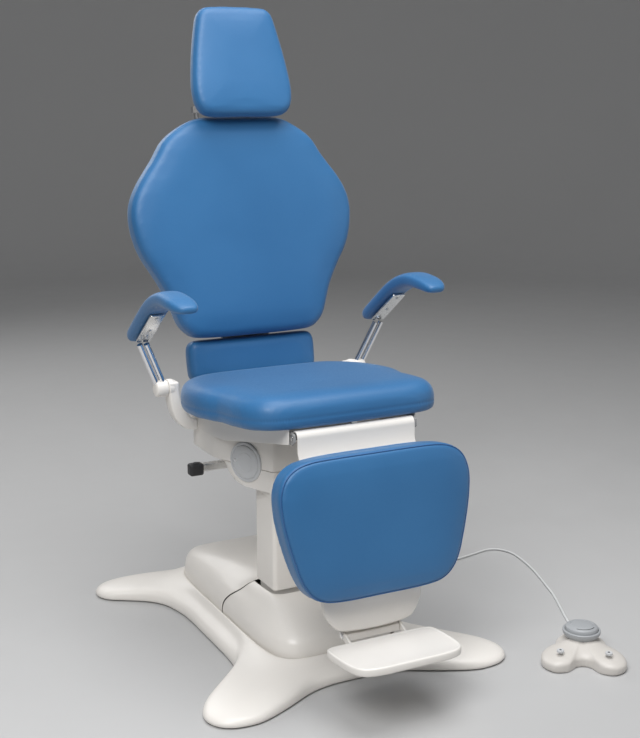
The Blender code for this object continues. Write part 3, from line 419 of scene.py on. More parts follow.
def build_stage():
    data = bpy.data.cameras.new("camera")
    data.lens = FOCAL_MM
    data.sensor_width = 36
    camera = bpy.data.objects.new("camera", data)
    a, e = math.radians(CAMERA_AZIMUTH), math.radians(CAMERA_PITCH)
    aim = Vector((-math.sin(a) * math.cos(e), math.cos(a) * math.cos(e), -math.sin(e)))
    camera.location = CAMERA_AT
    camera.rotation_euler = aim.to_track_quat("-Z", "Y").to_euler()
    SCENE.collection.objects.link(camera)
    SCENE.camera = camera
    lamps = [
        ("key", (-1.9, -1.9, 3.1), (0.0, 0.0, 0.7), 2.0, 92),
        ("top", (0.2, -0.5, 3.5), (0.0, 0.0, 0.5), 2.4, 74),
        ("fill", (2.6, -2.2, 1.6), (0.0, 0.0, 0.9), 2.0, 12),
        ("rear", (-0.4, 3.4, 2.6), (0.0, 0.0, 0.7), 2.2, 30),
    ]
    for name, at, to, size, power in lamps:
        light = bpy.data.lights.new(name, "AREA")
        light.shape = "DISK"
        light.size = size
        light.energy = power
        lamp = bpy.data.objects.new(name, light)
        lamp.location = at
        lamp.rotation_euler = (Vector(to) - Vector(at)).to_track_quat("-Z", "Y").to_euler()
        SCENE.collection.objects.link(lamp)
    world = bpy.data.worlds.new("studio")
    world.use_nodes = True
    world.node_tree.nodes["Background"].inputs["Color"].default_value = (0.93, 0.94, 0.96, 1)
    world.node_tree.nodes["Background"].inputs["Strength"].default_value = 0.26
    SCENE.world = world
    SCENE.view_settings.view_transform = "Standard"
    profile = [(0.0, -0.0005), (2.0, -0.0005), (6.0, -0.0005)]
    profile += [(6.0 + 2.5 * math.sin(a), 2.4995 - 2.5 * math.cos(a))
                for a in np.radians(np.linspace(10, 90, 9))]
    profile.append((8.5, 9.0))
    a = np.linspace(0, 2 * math.pi, 72, endpoint=False)[:, None]
    rings = [np.hstack([max(r, 0.001) * np.cos(a), max(r, 0.001) * np.sin(a),
                        np.full((72, 1), z)]) for r, z in profile]
    faces = [f for f in rings_mesh(rings)[1] if len(f) == 4]
    floor_mesh = bpy.data.meshes.new("floor")
    floor_mesh.from_pydata([tuple(v) for v in np.vstack(rings)], [], faces)
    floor_mesh.shade_smooth()
    floor = bpy.data.objects.new("floor", floor_mesh)
    SCENE.collection.objects.link(floor)
    floor.data.materials.append(surface("pale_floor", (0.50, 0.50, 0.50), 0.55, spread=0.01,
                                        patch=0.8, bumps=((40.0, 0.02, 0.0005),)))
    floor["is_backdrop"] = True


build_stage()

# ------------------------------------------------------------------ cord of the foot control
RIM_HALF = 0.172
CORD_R = 0.0028
CORD_FLOOR = CORD_R + 0.0004
PEDAL_CENTRE = (0.524, -0.415)
PEDAL_TURN = math.radians(-34.0)


def pedal_point(x, y):
    c, s = math.cos(PEDAL_TURN), math.sin(PEDAL_TURN)
    return (PEDAL_CENTRE[0] + x * c - y * s, PEDAL_CENTRE[1] + x * s + y * c)


def build_cord():
    floor = CORD_FLOOR
    end_x, end_y = pedal_point(0.003, 0.1025)
    route = [
        (RIM_HALF + 0.0190, 0.205, 0.0640), (RIM_HALF + 0.040, 0.206, 0.0560),
        (0.245, 0.210, 0.022), (0.280, 0.214, floor + 0.001), (0.340, 0.222, floor),
        (0.460, 0.240, floor), (0.577, 0.252, floor), (0.628, 0.257, floor),
        (0.683, 0.268, floor), (0.725, 0.276, floor), (0.757, 0.268, floor),
        (0.776, 0.236, floor), (0.778, 0.193, floor), (0.757, 0.092, floor),
        (0.717, -0.025, floor), (0.698, -0.077, floor), (0.665, -0.148, floor),
        (0.640, -0.200, floor), (0.615, -0.257, floor), (0.603, -0.298, floor + 0.002),
        (end_x, end_y, 0.0140),
    ]
    line = smooth_line(route, 150)
    cord = piece("foot_cord_sheath", *sweep(line, CORD_R, 16), "pvc", "base", ["foot_cord"])
    relief_path = line[:7]
    relief = piece("gland_strain_relief", *sweep(relief_path, np.linspace(0.0058, 0.0034, 7), 20),
                   "grey", "base")
    tail = smooth_line(line[-4:], 7)
    boot = piece("pedal_strain_relief", *sweep(tail, np.linspace(0.0033, 0.0052, 7), 20), "grey",
                 "base")


build_cord()
turned("cord_gland_nut", (RIM_HALF - 0.002, 0.205, 0.0640), (1, 0, 0),
       [(0.0, 0.0092), (0.010, 0.0092), (0.012, 0.0086), (0.0135, 0.0072), (0.0205, 0.0066),
        (0.0212, 0.0058)], "grey", "base", ["cord_gland"])

# ------------------------------------------------------------------ padded pieces
SEAT_OUTLINE = [
    (0.000, 0.255), (0.080, 0.255), (0.150, 0.250), (0.195, 0.232), (0.228, 0.201),
    (0.247, 0.165), (0.262, 0.120), (0.270, 0.065), (0.270, 0.010), (0.262, -0.035),
    (0.252, -0.070), (0.249, -0.110), (0.246, -0.155), (0.236, -0.200), (0.212, -0.238),
    (0.170, -0.257), (0.090, -0.262), (0.000, -0.263),
]
BACK_OUTLINE = [
    (0.000, 0.240), (0.080, 0.240), (0.118, 0.235), (0.150, 0.221), (0.181, 0.201),
    (0.203, 0.181), (0.217, 0.159), (0.230, 0.139), (0.246, 0.118), (0.262, 0.097),
    (0.276, 0.076), (0.288, 0.053), (0.296, 0.030), (0.300, 0.000), (0.297, -0.035),
    (0.289, -0.070), (0.276, -0.102), (0.258, -0.132), (0.246, -0.152), (0.235, -0.172),
    (0.226, -0.190), (0.218, -0.210), (0.211, -0.232), (0.204, -0.252), (0.195, -0.273),
    (0.178, -0.291), (0.154, -0.304), (0.080, -0.308), (0.000, -0.308),
]
HEAD_OUTLINE = [
    (0.000, -0.066), (0.078, -0.066), (0.109, -0.059), (0.124, -0.041), (0.130, -0.014),
    (0.130, 0.015), (0.123, 0.070), (0.113, 0.125), (0.103, 0.170), (0.095, 0.189),
    (0.078, 0.201), (0.040, 0.204), (0.000, 0.204),
]
LEG_OUTLINE = [
    (0.000, 0.009), (0.090, 0.009), (0.150, 0.007), (0.190, -0.002), (0.219, -0.024),
    (0.233, -0.060), (0.233, -0.100), (0.225, -0.150), (0.211, -0.205), (0.195, -0.252),
    (0.172, -0.285), (0.138, -0.302), (0.080, -0.307), (0.000, -0.307),
]
SEAT_MID_Z = 0.618
SEAT_SLOPE = math.radians(5)
SEAT = Lean((0, 0, SEAT_MID_Z), 0)
SEAT.up = np.array((0, math.cos(SEAT_SLOPE), -math.sin(SEAT_SLOPE)))
SEAT.out = np.array((0, math.sin(SEAT_SLOPE), math.cos(SEAT_SLOPE)))
BACK = Lean((0, 0.335, 1.005), 10)
HEAD = Lean((0, 0.334, 1.306), 15)
LEG = Lean((0, -0.328, 0.553), 8)
LUMBAR_OUTLINE = [
    (0.000, -0.3090), (0.142, -0.3090), (0.164, -0.314), (0.172, -0.330), (0.173, -0.363),
    (0.171, -0.396), (0.162, -0.410), (0.140, -0.415), (0.000, -0.415),
]

PADS = []
CLOTH_FRAMES = 20
CLOTH_PRESSURE = 4.0
CLOTH_STIFFNESS = 15
MOVE_ROUNDS = 45
CROWN_RUN = 0.090
CROWN_RISE = 0.012


def pad_form(panel, half, n0, n1, rear, front, crown, count):
    """Closed form of a pad: rounded rear and front edges and a crowned face."""
    loop = smooth_line(mirrored(half), count, closed=True)
    rings = []
    for k in range(4):
        a = math.pi / 2 * k / 3
        edge = inset(loop, rear * (1 - math.sin(a)))
        rings.append(panel.at(edge[:, 0], edge[:, 1], n0 + rear * (1 - math.cos(a))))
    for k in range(5):
        a = math.pi / 2 * k / 4
        edge = inset(loop, front * (1 - math.cos(a)))
        rings.append(panel.at(edge[:, 0], edge[:, 1], n1 - crown - front * (1 - math.sin(a))))
    return rings_mesh(rings)


def swell(obj, panel, half, crown):
    """Crown the face of a pad: it rises from its edge towards the middle."""
    edge = smooth_line(mirrored(half), 400, closed=True)
    tree = KDTree(len(edge))
    for k, (x, s) in enumerate(edge):
        tree.insert((x, s, 0.0), k)
    tree.balance()
    for v in obj.data.vertices:
        away = np.array(v.co) - panel.origin
        n = away @ panel.out
        _, _, gap = tree.find((v.co.x - panel.origin[0], away @ panel.up, 0.0))
        rise = 1 - (1 - min(gap / CROWN_RUN, 1.0)) ** 2
        v.co = v.co + Vector(panel.out * (crown * rise * min(max(n / CROWN_RISE, 0.0), 1.0)))


def rest_on(obj, panel, n0, depth):
    """Hold the rear of a pad still, easing off forwards."""
    co = np.array([v.co for v in obj.data.vertices])
    n = (co - panel.origin) @ panel.out
    held = np.clip(1 - (n - n0) / depth, 0, 1)
    group = obj.vertex_groups.new(name="held")
    for k, w in enumerate(held):
        if w > 0.02:
            group.add([k], float(w), "REPLACE")


def add_pad(name, node_name, body, form, panel, n0, voxel, cap, held=0.016, seams=(), crown=None):
    obj = piece(name, *form, "leather", body, [node_name], sharp=0)
    remesh = obj.modifiers.new("remesh", "REMESH")
    remesh.mode = "VOXEL"
    remesh.voxel_size = voxel
    bake(obj)
    relax(obj, 6)
    if crown:
        swell(obj, panel, *crown)
    rest_on(obj, panel, n0, held)
    PADS.append((obj, cap, seams))
    return obj


def bake(obj):
    """Apply the modifiers of a piece."""
    graph = bpy.context.evaluated_depsgraph_get()
    made = bpy.data.meshes.new_from_object(obj.evaluated_get(graph), depsgraph=graph)
    obj.modifiers.clear()
    old = obj.data
    obj.data = made
    bpy.data.meshes.remove(old)
    made.shade_smooth()


def neighbour_mean(mesh):
    """Function giving the mean of a field over each vertex's neighbours."""
    ends = np.zeros(len(mesh.edges) * 2, int)
    mesh.edges.foreach_get("vertices", ends)
    a, b = ends.reshape(-1, 2).T
    count = len(mesh.vertices)
    degree = np.bincount(np.concatenate([a, b]), minlength=count)[:, None]

    def mean(field):
        total = [np.bincount(a, field[b, k], count) + np.bincount(b, field[a, k], count)
                 for k in range(3)]
        return np.stack(total, 1) / degree

    return mean


def relax(obj, rounds, factor=0.5):
    """Even out the voxel steps."""
    mesh = obj.data
    mean = neighbour_mean(mesh)
    co = np.array([v.co for v in mesh.vertices])
    for step in range(rounds * 2):
        co = co + (factor if step % 2 == 0 else -factor * 1.04) * (mean(co) - co)
    mesh.vertices.foreach_set("co", co.ravel())
    mesh.update()


def even_out(mesh, field, rounds):
    """Average a field of vectors along the edges of a mesh."""
    mean = neighbour_mean(mesh)
    for _ in range(rounds):
        field = 0.4 * field + 0.6 * mean(field)
    return field


def inflate_pads():
    """One cloth run for all pads, then each point's move is limited."""
    rest = {}
    for obj, _, _ in PADS:
        rest[obj.name] = np.array([v.co for v in obj.data.vertices])
        cloth = obj.modifiers.new("cloth", "CLOTH")
        cloth.settings.use_pressure = True
        cloth.settings.uniform_pressure_force = CLOTH_PRESSURE
        cloth.settings.vertex_group_mass = "held"
        cloth.settings.effector_weights.gravity = 0.0
        cloth.settings.tension_stiffness = CLOTH_STIFFNESS
        cloth.settings.compression_stiffness = CLOTH_STIFFNESS
        cloth.settings.quality = 4
        cloth.collision_settings.use_collision = False
    for number in range(1, CLOTH_FRAMES + 1):
        SCENE.frame_set(number)
    for obj, cap, seams in PADS:
        bake(obj)
        co = np.array([v.co for v in obj.data.vertices])
        move = even_out(obj.data, co - rest[obj.name], MOVE_ROUNDS)
        far = np.linalg.norm(move, axis=1)[:, None]
        co = rest[obj.name] + move * np.minimum(1, cap / np.maximum(far, 1e-9))
        obj.data.vertices.foreach_set("co", co.ravel())
        obj.data.update()
        relax(obj, 3)
        fine = obj.modifiers.new("fine", "SUBSURF")
        fine.levels = fine.render_levels = 1
        bake(obj)
        for line in seams:
            sew(obj, *line)
        obj.data.materials.clear()
        obj.data.materials.append(MATERIALS["leather"])
    SCENE.frame_set(1)


def sew(obj, line, depth, width, pipe):
    """Press a seam into the surface along a closed line and lay its piping there."""
    graph_tree = BVHTree.FromPolygons([v.co for v in obj.data.vertices],
                                      [tuple(p.vertices) for p in obj.data.polygons])
    on = []
    for p in line:
        hit, normal, _, _ = graph_tree.find_nearest(Vector(p))
        on.append((np.array(hit), np.array(normal)))
    points = smooth_line([p for p, _ in on], len(on) * 3, closed=True)
    tree = KDTree(len(points))
    for k, p in enumerate(points):
        tree.insert(p, k)
    tree.balance()
    for v in obj.data.vertices:
        _, _, gap = tree.find(v.co)
        if gap < width * 3:
            v.co = v.co - v.normal * (depth * math.exp(-(gap / width) ** 2))
    if pipe:
        path = np.array([p + n * (pipe * 0.15) for p, n in on])
        path = smooth_line(path, len(on) * 2, closed=True)
        name = obj.name + "_piping"
        rings = []
        ahead = np.roll(path, -1, 0) - np.roll(path, 1, 0)
        a = np.linspace(0, 2 * math.pi, 8, endpoint=False)[:, None]
        for p, d in zip(path, ahead):
            d = d / np.linalg.norm(d)
            _, n, _, _ = graph_tree.find_nearest(Vector(p))
            side = np.cross(d, n)
            side /= np.linalg.norm(side)
            rings.append(p + pipe * (np.cos(a) * side + np.sin(a) * np.cross(side, d)))
        verts, faces = rings_mesh(rings, cyclic=True)
        body = body_of(obj)[0]
        pipe_obj = piece(name, verts, faces, "piping", body, sharp=0)
        pipe_obj.parent = obj
        pipe_obj.matrix_parent_inverse = obj.matrix_world.inverted()


def seam_line(panel, half, gap, n, count):
    loop = inset(smooth_line(mirrored(half), count, closed=True), gap)
    return list(panel.at(loop[:, 0], loop[:, 1], n))


# name, CAD piece, body, panel, outline, rear and front faces, their roundings, crown, voxel size,
# largest swelling, outline points, seam: inset, height, depth, width, piping radius, points
FLAT_PADS = [
    ("seat_pad", "seat_cushion", "seat", SEAT, SEAT_OUTLINE, (-0.0365, 0.0335), (0.014, 0.030),
     0.006, 0.0060, 0.003, 150, (0.0, -0.014, 0.0014, 0.0028, 0.0, 90)),
    ("back_pad", "back_cushion", "back", BACK, BACK_OUTLINE, (-0.0345, 0.0345), (0.014, 0.019),
     0.007, 0.0060, 0.003, 150, (0.003, 0.018, 0.0013, 0.0026, 0.0, 90)),
    ("head_pad", "head_cushion", "head", HEAD, HEAD_OUTLINE, (-0.0285, 0.0285), (0.022, 0.016),
     0.006, 0.0050, 0.0012, 150, (0.002, 0.012, 0.0011, 0.0024, 0.0, 60)),
    ("leg_pad", "legrest_cushion", "leg", LEG, LEG_OUTLINE, (-0.0295, 0.0295), (0.010, 0.011),
     0.006, 0.0050, 0.0025, 150, (0.0035, 0.0215, 0.0016, 0.0024, 0.0015, 80)),
    ("lumbar_pad", "lumbar_cushion", "back", BACK, LUMBAR_OUTLINE, (-0.0445, 0.0050),
     (0.010, 0.018), 0.004, 0.0050, 0.0025, 110, None),
]
for row in FLAT_PADS:
    name, node_name, body, panel, half, faces, rounding, crown, voxel, cap, count, seam = row
    seams = []
    if seam:
        gap, height, depth, width, pipe, points = seam
        seams.append((seam_line(panel, half, gap, height, points), depth, width, pipe))
    add_pad(name, node_name, body, pad_form(panel, half, *faces, *rounding, crown, count), panel,
            faces[0] - 0.0005, voxel, cap, seams=seams, crown=(half, crown))

ARM_PAD_X = 0.318
ARM_PAD_AT = (0.150, 0.800)
DROP = math.radians(36.2)
ARM_LINE = [
    (-0.087, 0.8470, 0.0060, 0.0150, -0.006), (-0.079, 0.8480, 0.0105, 0.0235, -0.005),
    (-0.060, 0.8510, 0.0145, 0.0305, -0.003), (-0.030, 0.8550, 0.0170, 0.0330, -0.001),
    (0.020, 0.8565, 0.0185, 0.0330, 0.0), (0.062, 0.8475, 0.0185, 0.0330, 0.0),
    (0.105, 0.8290, 0.0180, 0.0330, 0.0), (0.150, 0.8000, 0.0175, 0.0330, 0.0),
    (0.200, 0.7635, 0.0175, 0.0330, 0.0), (0.230, 0.7415, 0.0165, 0.0320, 0.0),
    (0.242, 0.7330, 0.0125, 0.0270, 0.0), (0.247, 0.7290, 0.0070, 0.0200, 0.0),
]
for side, tag in ((-1, "L"), (1, "R")):
    line = smooth_line(ARM_LINE, 40)
    rings = []
    ahead = np.gradient(line[:, :2], axis=0)
    for (y, z, half, wide, toe), (dy, dz) in zip(line, ahead):
        length = math.hypot(dy, dz)
        up = np.array((0, -dz / length, dy / length))
        a = np.linspace(0, 2 * math.pi, 28, endpoint=False)
        c, s = np.cos(a), np.sin(a)
        scale = (np.abs(c) ** 3.2 + np.abs(s) ** 3.2) ** (-1 / 3.2)
        x = side * (ARM_PAD_X + toe) + c * scale * (wide - 0.001)
        ring = np.column_stack([x, np.full(28, y), np.full(28, z)])
        rings.append(ring + (s * scale * (half - 0.0008))[:, None] * up)
    arm_panel = Lean((side * ARM_PAD_X, *ARM_PAD_AT), 0)
    arm_panel.out = np.array((0, math.sin(DROP), math.cos(DROP)))
    add_pad("arm_pad_cover_" + tag, "arm_pad_" + tag, "arm_" + tag, rings_mesh(rings), arm_panel,
            -0.0175, 0.0040, 0.002, held=0.004)

inflate_pads()

# ------------------------------------------------------------------ base
FOOT_HALF = [
    (0.000, 0.477), (0.080, 0.479), (0.150, 0.486), (0.225, 0.502), (0.290, 0.518),
    (0.342, 0.516), (0.372, 0.492), (0.377, 0.456), (0.358, 0.424), (0.318, 0.398),
    (0.268, 0.362), (0.238, 0.318), (0.222, 0.250), (0.218, 0.190), (0.218, 0.110),
    (0.218, 0.030), (0.219, -0.040), (0.224, -0.088), (0.236, -0.126), (0.262, -0.158),
    (0.312, -0.190), (0.352, -0.228), (0.374, -0.266), (0.377, -0.302), (0.359, -0.334),
    (0.324, -0.351), (0.270, -0.351), (0.200, -0.322), (0.120, -0.281), (0.060, -0.267),
    (0.000, -0.266),
]
RIM_FRONT, RIM_REAR = -0.212, 0.448
RIM_MID = 0.5 * (RIM_FRONT + RIM_REAR)
COLLAR_Z = 0.148
SPLIT_Y = 0.060


def rim_angles():
    anchors = [(0, 90.0), (6, 45.0), (15, 0.0), (22, -45.0), (30, -90.0)]
    angles = [90.0]
    for (i0, a0), (i1, a1) in zip(anchors, anchors[1:]):
        steps = [math.dist(FOOT_HALF[k], FOOT_HALF[k + 1]) for k in range(i0, i1)]
        angles += [a0 + (a1 - a0) * sum(steps[:k + 1]) / sum(steps) for k in range(len(steps))]
    return angles


def rim_at(angle, grow=0.0):
    """Point on the rounded rectangle round the covers, angles in degrees from +X."""
    angle = np.radians(angle)
    c, s = np.cos(angle), np.sin(angle)
    scale = (np.abs(c) ** 6.5 + np.abs(s) ** 6.5) ** (-1 / 6.5)
    hx, hy = RIM_HALF + grow, 0.5 * (RIM_REAR - RIM_FRONT) + grow
    return np.stack([c * scale * hx, RIM_MID + s * scale * hy], -1)


def build_base():
    angles = rim_angles()
    points = [(x, y, a / 2000) for (x, y), a in zip(FOOT_HALF, angles)]
    points += [(-x, y, (-180 - a) / 2000) for (x, y), a in zip(FOOT_HALF[-2::-1], angles[-2::-1])]
    loop = smooth_line(points, 381)[:-1]
    outline, turn = loop[:, :2], loop[:, 2] * 2000
    rim = rim_at(turn)
    rings = [upright(inset(outline, 0.006), 0.0032), upright(inset(outline, 0.0015), 0.0032),
             upright(outline, 0.0050), upright(outline, 0.0095)]
    for t, z in ((0.012, 0.0145), (0.035, 0.0185), (0.07, 0.0215), (0.13, 0.0246),
                 (0.22, 0.0278), (0.33, 0.0305), (0.45, 0.0328), (0.57, 0.0348), (0.68, 0.0372),
                 (0.78, 0.0408), (0.87, 0.0455), (0.94, 0.0495), (0.98, 0.0514)):
        rings.append(upright(outline + (rim - outline) * t, z))
    rings += [upright(rim, 0.0520), upright(rim_at(turn, -0.003), 0.0520),
              upright(rim_at(turn, -0.0042), 0.0505), upright(rim_at(turn, -0.0045), 0.0140),
              upright(inset(outline, 0.0105), 0.0140), upright(inset(outline, 0.0105), 0.0032)]
    piece("base_casting", *rings_mesh(rings, cyclic=True), "powder", "base", ["base_body"],
          sharp=55)


S_SEAM = [(0.166, 0.123, 0.030), (0.1665, 0.121, 0.060), (0.1655, 0.112, 0.082),
          (0.158, 0.098, 0.100), (0.148, 0.086, 0.112), (0.136, 0.077, 0.120),
          (0.127, 0.071, 0.130), (0.117, 0.064, 0.139), (0.106, 0.0575, 0.1460)]


def cover_form(front):
    """Grid from the rim up to the column opening, its ends brought to the curved seam."""
    sign = -1.0 if front else 1.0
    split = math.degrees(math.atan((SPLIT_Y - RIM_MID) / (0.5 * (RIM_REAR - RIM_FRONT))))
    count = 121
    span = np.linspace(0, 1, count)
    angles = split + (-180 - 2 * split if front else 180 - 2 * split) * span
    edge_y = SPLIT_Y - 0.0015 if front else SPLIT_Y
    if front:
        levels = [(-0.0060, 0.030), (-0.0060, 0.046), (-0.0062, 0.060), (-0.0075, 0.070),
                  (-0.0100, 0.079), (-0.0142, 0.087), (-0.0205, 0.0935)]
    else:
        levels = [(-0.0052, 0.030), (-0.0052, 0.050), (-0.0054, 0.070), (-0.0068, 0.084),
                  (-0.0100, 0.096), (-0.0160, 0.107), (-0.0240, 0.1140)]
    rows = [np.column_stack([rim_at(angles, g), np.full(count, z)]) for g, z in levels]
    x = np.linspace(1, -1, count)
    if front:
        turn = math.pi * span
        c, s = np.cos(turn), np.sin(turn)
        scale = (np.abs(c) ** 9 + np.abs(s) ** 9) ** (-1 / 9)
        opening = np.column_stack([c * scale * 0.1065, edge_y - s * scale * (edge_y + 0.0565),
                                   np.full(count, COLLAR_Z)])
        steps = ((0.12, 0.20), (0.30, 0.43), (0.50, 0.64), (0.70, 0.815), (0.88, 0.94), (1, 1))
    else:
        opening = np.column_stack([x * 0.1065, np.full(count, edge_y), np.full(count, COLLAR_Z)])
        steps = ((0.10, 0.22), (0.25, 0.46), (0.42, 0.67), (0.62, 0.84), (0.82, 0.95), (1, 1))
    last = rows[-1]
    for t, lift in steps:
        row = last + (opening - last) * t
        row[:, 2] = last[:, 2] + (opening[:, 2] - last[:, 2]) * lift
        rows.append(row)
    grid = np.array(rows)
    seam = smooth_line(S_SEAM, len(rows))
    seam[:, 1] += sign * 0.0006
    if front:
        seam[:, 2] -= 0.0022
        seam[:, 0] -= 0.0012
    for end, mirror in ((0, 1.0), (count - 1, -1.0)):
        target = seam * (mirror, 1.0, 1.0)
        shift = target - grid[:, end]
        away = np.abs(np.arange(count) - end) / (count - 1)
        ease = np.clip(1 - away / 0.30, 0, 1)
        ease = ease * ease * (3 - 2 * ease)
        grid = grid + shift[:, None, :] * ease[None, :, None]
    return grid


def skin(name, grid, thickness, finish, body, nodes, levels=1):
    """Closed shell from a grid of points, thickened inwards."""
    rows, cols = grid.shape[:2]
    faces = [(r * cols + c, r * cols + c + 1, (r + 1) * cols + c + 1, (r + 1) * cols + c)
             for r in range(rows - 1) for c in range(cols - 1)]
    obj = piece(name, grid.reshape(-1, 3), faces, finish, body, nodes, sharp=0)
    solid = obj.modifiers.new("wall", "SOLIDIFY")
    solid.thickness = thickness
    solid.offset = -1.0
    if levels:
        fine = obj.modifiers.new("fine", "SUBSURF")
        fine.levels = fine.render_levels = levels
    return obj


build_base()
skin("front_cover_shell", cover_form(True), 0.0028, "white", "base", ["base_front_cover"])
skin("rear_cover_shell", cover_form(False), 0.0030, "white", "base", ["base_rear_cover"])

# ------------------------------------------------------------------ column
prism("column_outer", round_rect(-0.104, 0.104, -0.052, 0.052, 0.011), upright, 0.155, 0.3795,
      0.0015, "powder", "carriage", ["column_shroud"])
refine("column_lower", "powder")
refine("column_middle", "powder")
refine("lift_actuator_body", "grey_paint")
refine("lift_actuator_rod", "steel", 0)
refine("base_plate", "grey_paint")
refine("swivel_bearing", "steel", 0)

# ------------------------------------------------------------------ housing under the seat
PANEL_ANGLE = math.atan2(0.076, 0.176)
PANEL_ALONG = np.array((math.sin(PANEL_ANGLE), math.cos(PANEL_ANGLE)))


def housing_loop(px, py, rx, ry):
    """Plan outline of the housing with soft corners."""
    right = [(0.0, -0.056), (0.060, -0.056), (0.098, -0.056), (0.1045, -0.0545), (0.109, -0.049),
             (0.106 + (px - 0.106) * 0.3, -0.056 + (py + 0.056) * 0.3),
             (0.106 + (px - 0.106) * 0.6, -0.056 + (py + 0.056) * 0.6),
             (px - 0.002, py - 0.004), (rx, py + 0.010 if ry - py > 0.04 else 0.5 * (py + ry)),
             (rx, py + 0.5 * (ry - py)), (rx, ry - 0.014), (rx - 0.004, ry - 0.004),
             (rx - 0.014, ry), (rx * 0.5, ry), (0.0, ry)]
    full = [tuple(p) for p in right] + [(-x, y) for x, y in reversed(right[1:-1])]
    pts = np.array(full)
    dense = []
    for k in range(len(pts)):
        a, b = pts[k], pts[(k + 1) % len(pts)]
        dense += [a + (b - a) * t for t in (0.0, 0.25, 0.5, 0.75)]
    return np.array(dense)


def build_housing():
    rings = []
    for z, px, py, rear in ((0.3808, 0.107, 0.010, 0.056), (0.3935, 0.107, 0.010, 0.057)):
        rings.append(upright(housing_loop(px, py, px, rear), z))
    for z in (0.3972, 0.3980, 0.4000, 0.4030, 0.4080, 0.4150, 0.4230, 0.4320, 0.4400, 0.4466):
        reach = 0.083 + math.sqrt(max(0.0615 ** 2 - (z - 0.4585) ** 2, 0.0))
        px, py = np.array((0.106, -0.056)) + PANEL_ALONG * reach
        rear = 0.0620 + 0.050 * (z - 0.397) / 0.050
        rings.append(upright(housing_loop(px, py, px, max(rear, py + 0.020)), z))
    for z, grow in ((0.4472, -0.0040), (0.4482, -0.0014), (0.4505, 0.0), (0.5260, 0.0),
                    (0.5300, -0.001), (0.5306, -0.0025)):
        loop = housing_loop(0.1805, 0.120, 0.1805, 0.2615)
        rings.append(upright(inset(loop, -grow), z))
    piece("housing_shell", *rings_mesh(rings), "powder", "seat", ["swivel_housing"], sharp=32)


build_housing()


def disc_frame(side):
    out = np.array((side * math.cos(PANEL_ANGLE), -math.sin(PANEL_ANGLE), 0.0))
    along = np.array((side * math.sin(PANEL_ANGLE), math.cos(PANEL_ANGLE), 0.0))
    foot = np.array((side * 0.106, -0.056, 0.4585)) + along * 0.083
    return foot, out, along


for side, tag in ((-1, "L"), (1, "R")):
    foot, out, along = disc_frame(side)
    cap = turned("swivel_cap_" + tag, foot, out,
                 [(-0.0005, 0.0480), (0.0030, 0.0480), (0.0042, 0.0472), (0.0046, 0.0458),
                  (0.0046, 0.0425), (0.0030, 0.0416), (0.0030, 0.0402), (0.0046, 0.0393),
                  (0.0052, 0.0378), (0.0054, 0.0240), (0.0047, 0.0233), (0.0047, 0.0224),
                  (0.0054, 0.0217), (0.0054, 0.0030)], "pale_grey", "seat", ["side_cap_" + tag],
                 sides=64)
    turned("swivel_cap_screw_" + tag, foot + along * 0.0310, out,
           [(0.0040, 0.0042), (0.0058, 0.0042), (0.0062, 0.0036), (0.0062, 0.0012)], "silver",
           "seat", sides=20)

# skirts under the cushion
for side, tag in ((-1, "L"), (1, "R")):
    outer = smooth_line([(0.158, -0.246), (0.162, -0.170), (0.168, -0.090), (0.1755, 0.000),
                         (0.1845, 0.105), (0.185, 0.180), (0.185, 0.245), (0.182, 0.258),
                         (0.172, 0.2655), (0.150, 0.266), (0.100, 0.266)], 70)
    front = np.clip((0.060 - outer[:, 1]) / 0.270, 0, 1.2)
    low = 0.5060 + 0.0560 * front - 0.0040 * np.clip((outer[:, 1] - 0.060) / 0.060, 0, 1)
    rows = []
    for t in np.linspace(0, 1, 7):
        top = SEAT_MID_Z - 0.036 - math.tan(SEAT_SLOPE) * outer[:, 1]
        rows.append(np.column_stack([side * outer[:, 0], outer[:, 1], low + (top - low) * t]))
    skin("seat_side_trim_" + tag, np.array(rows), 0.0032, "white", "seat", ["seat_skirt_" + tag], 0)
    bevel(bpy.data.objects["seat_side_trim_" + tag], 0.0010, 2)

for name in ("chassis_frame", "knee_bracket_L", "knee_bracket_R", "back_bracket_L",
             "back_bracket_R", "seat_pan", "legrest_frame", "back_frame"):
    refine(name, "grey_paint")
for name in ("knee_pin", "back_pivot_pin"):
    refine(name, "steel", 0.0006)
for name in ("footplate_pin", "head_bars", "head_hinge_pin"):
    refine(name, "chrome", 0.0008)
refine("head_guide", "grey", 0.0025)

# ------------------------------------------------------------------ knee cover and leg rest
KNEE_Y, KNEE_Z = -0.250, 0.585
arc = [(KNEE_Y + 0.0150 * math.cos(math.radians(40 + 11.67 * k)),
        KNEE_Z + 0.0150 * math.sin(math.radians(40 + 11.67 * k))) for k in range(13)]
arc_in = [(KNEE_Y + 0.0118 * math.cos(math.radians(40 + 11.67 * k)),
           KNEE_Z + 0.0118 * math.sin(math.radians(40 + 11.67 * k))) for k in range(13)]
shell_rear = -0.030 - 0.0165
foot_point = LEG.at(0.0, -0.0300, shell_rear - 0.0010)
outer = arc + [(KNEE_Y - 0.0155, KNEE_Z - 0.030), (foot_point[1], foot_point[2])]
inner = arc_in + [(KNEE_Y - 0.0122, KNEE_Z - 0.031), (foot_point[1] + 0.003, foot_point[2] - 0.002)]
apron_loop = np.array(outer + inner[::-1])
apron = piece("knee_apron", *rings_mesh([sideways(apron_loop, x) for x in (-0.145, 0.145)]),
              "white", "leg", ["knee_cover"])
bevel(apron, 0.0012, 3)


def panel_place(panel):
    return lambda loop, h: panel.at(loop[:, 0], loop[:, 1], h)


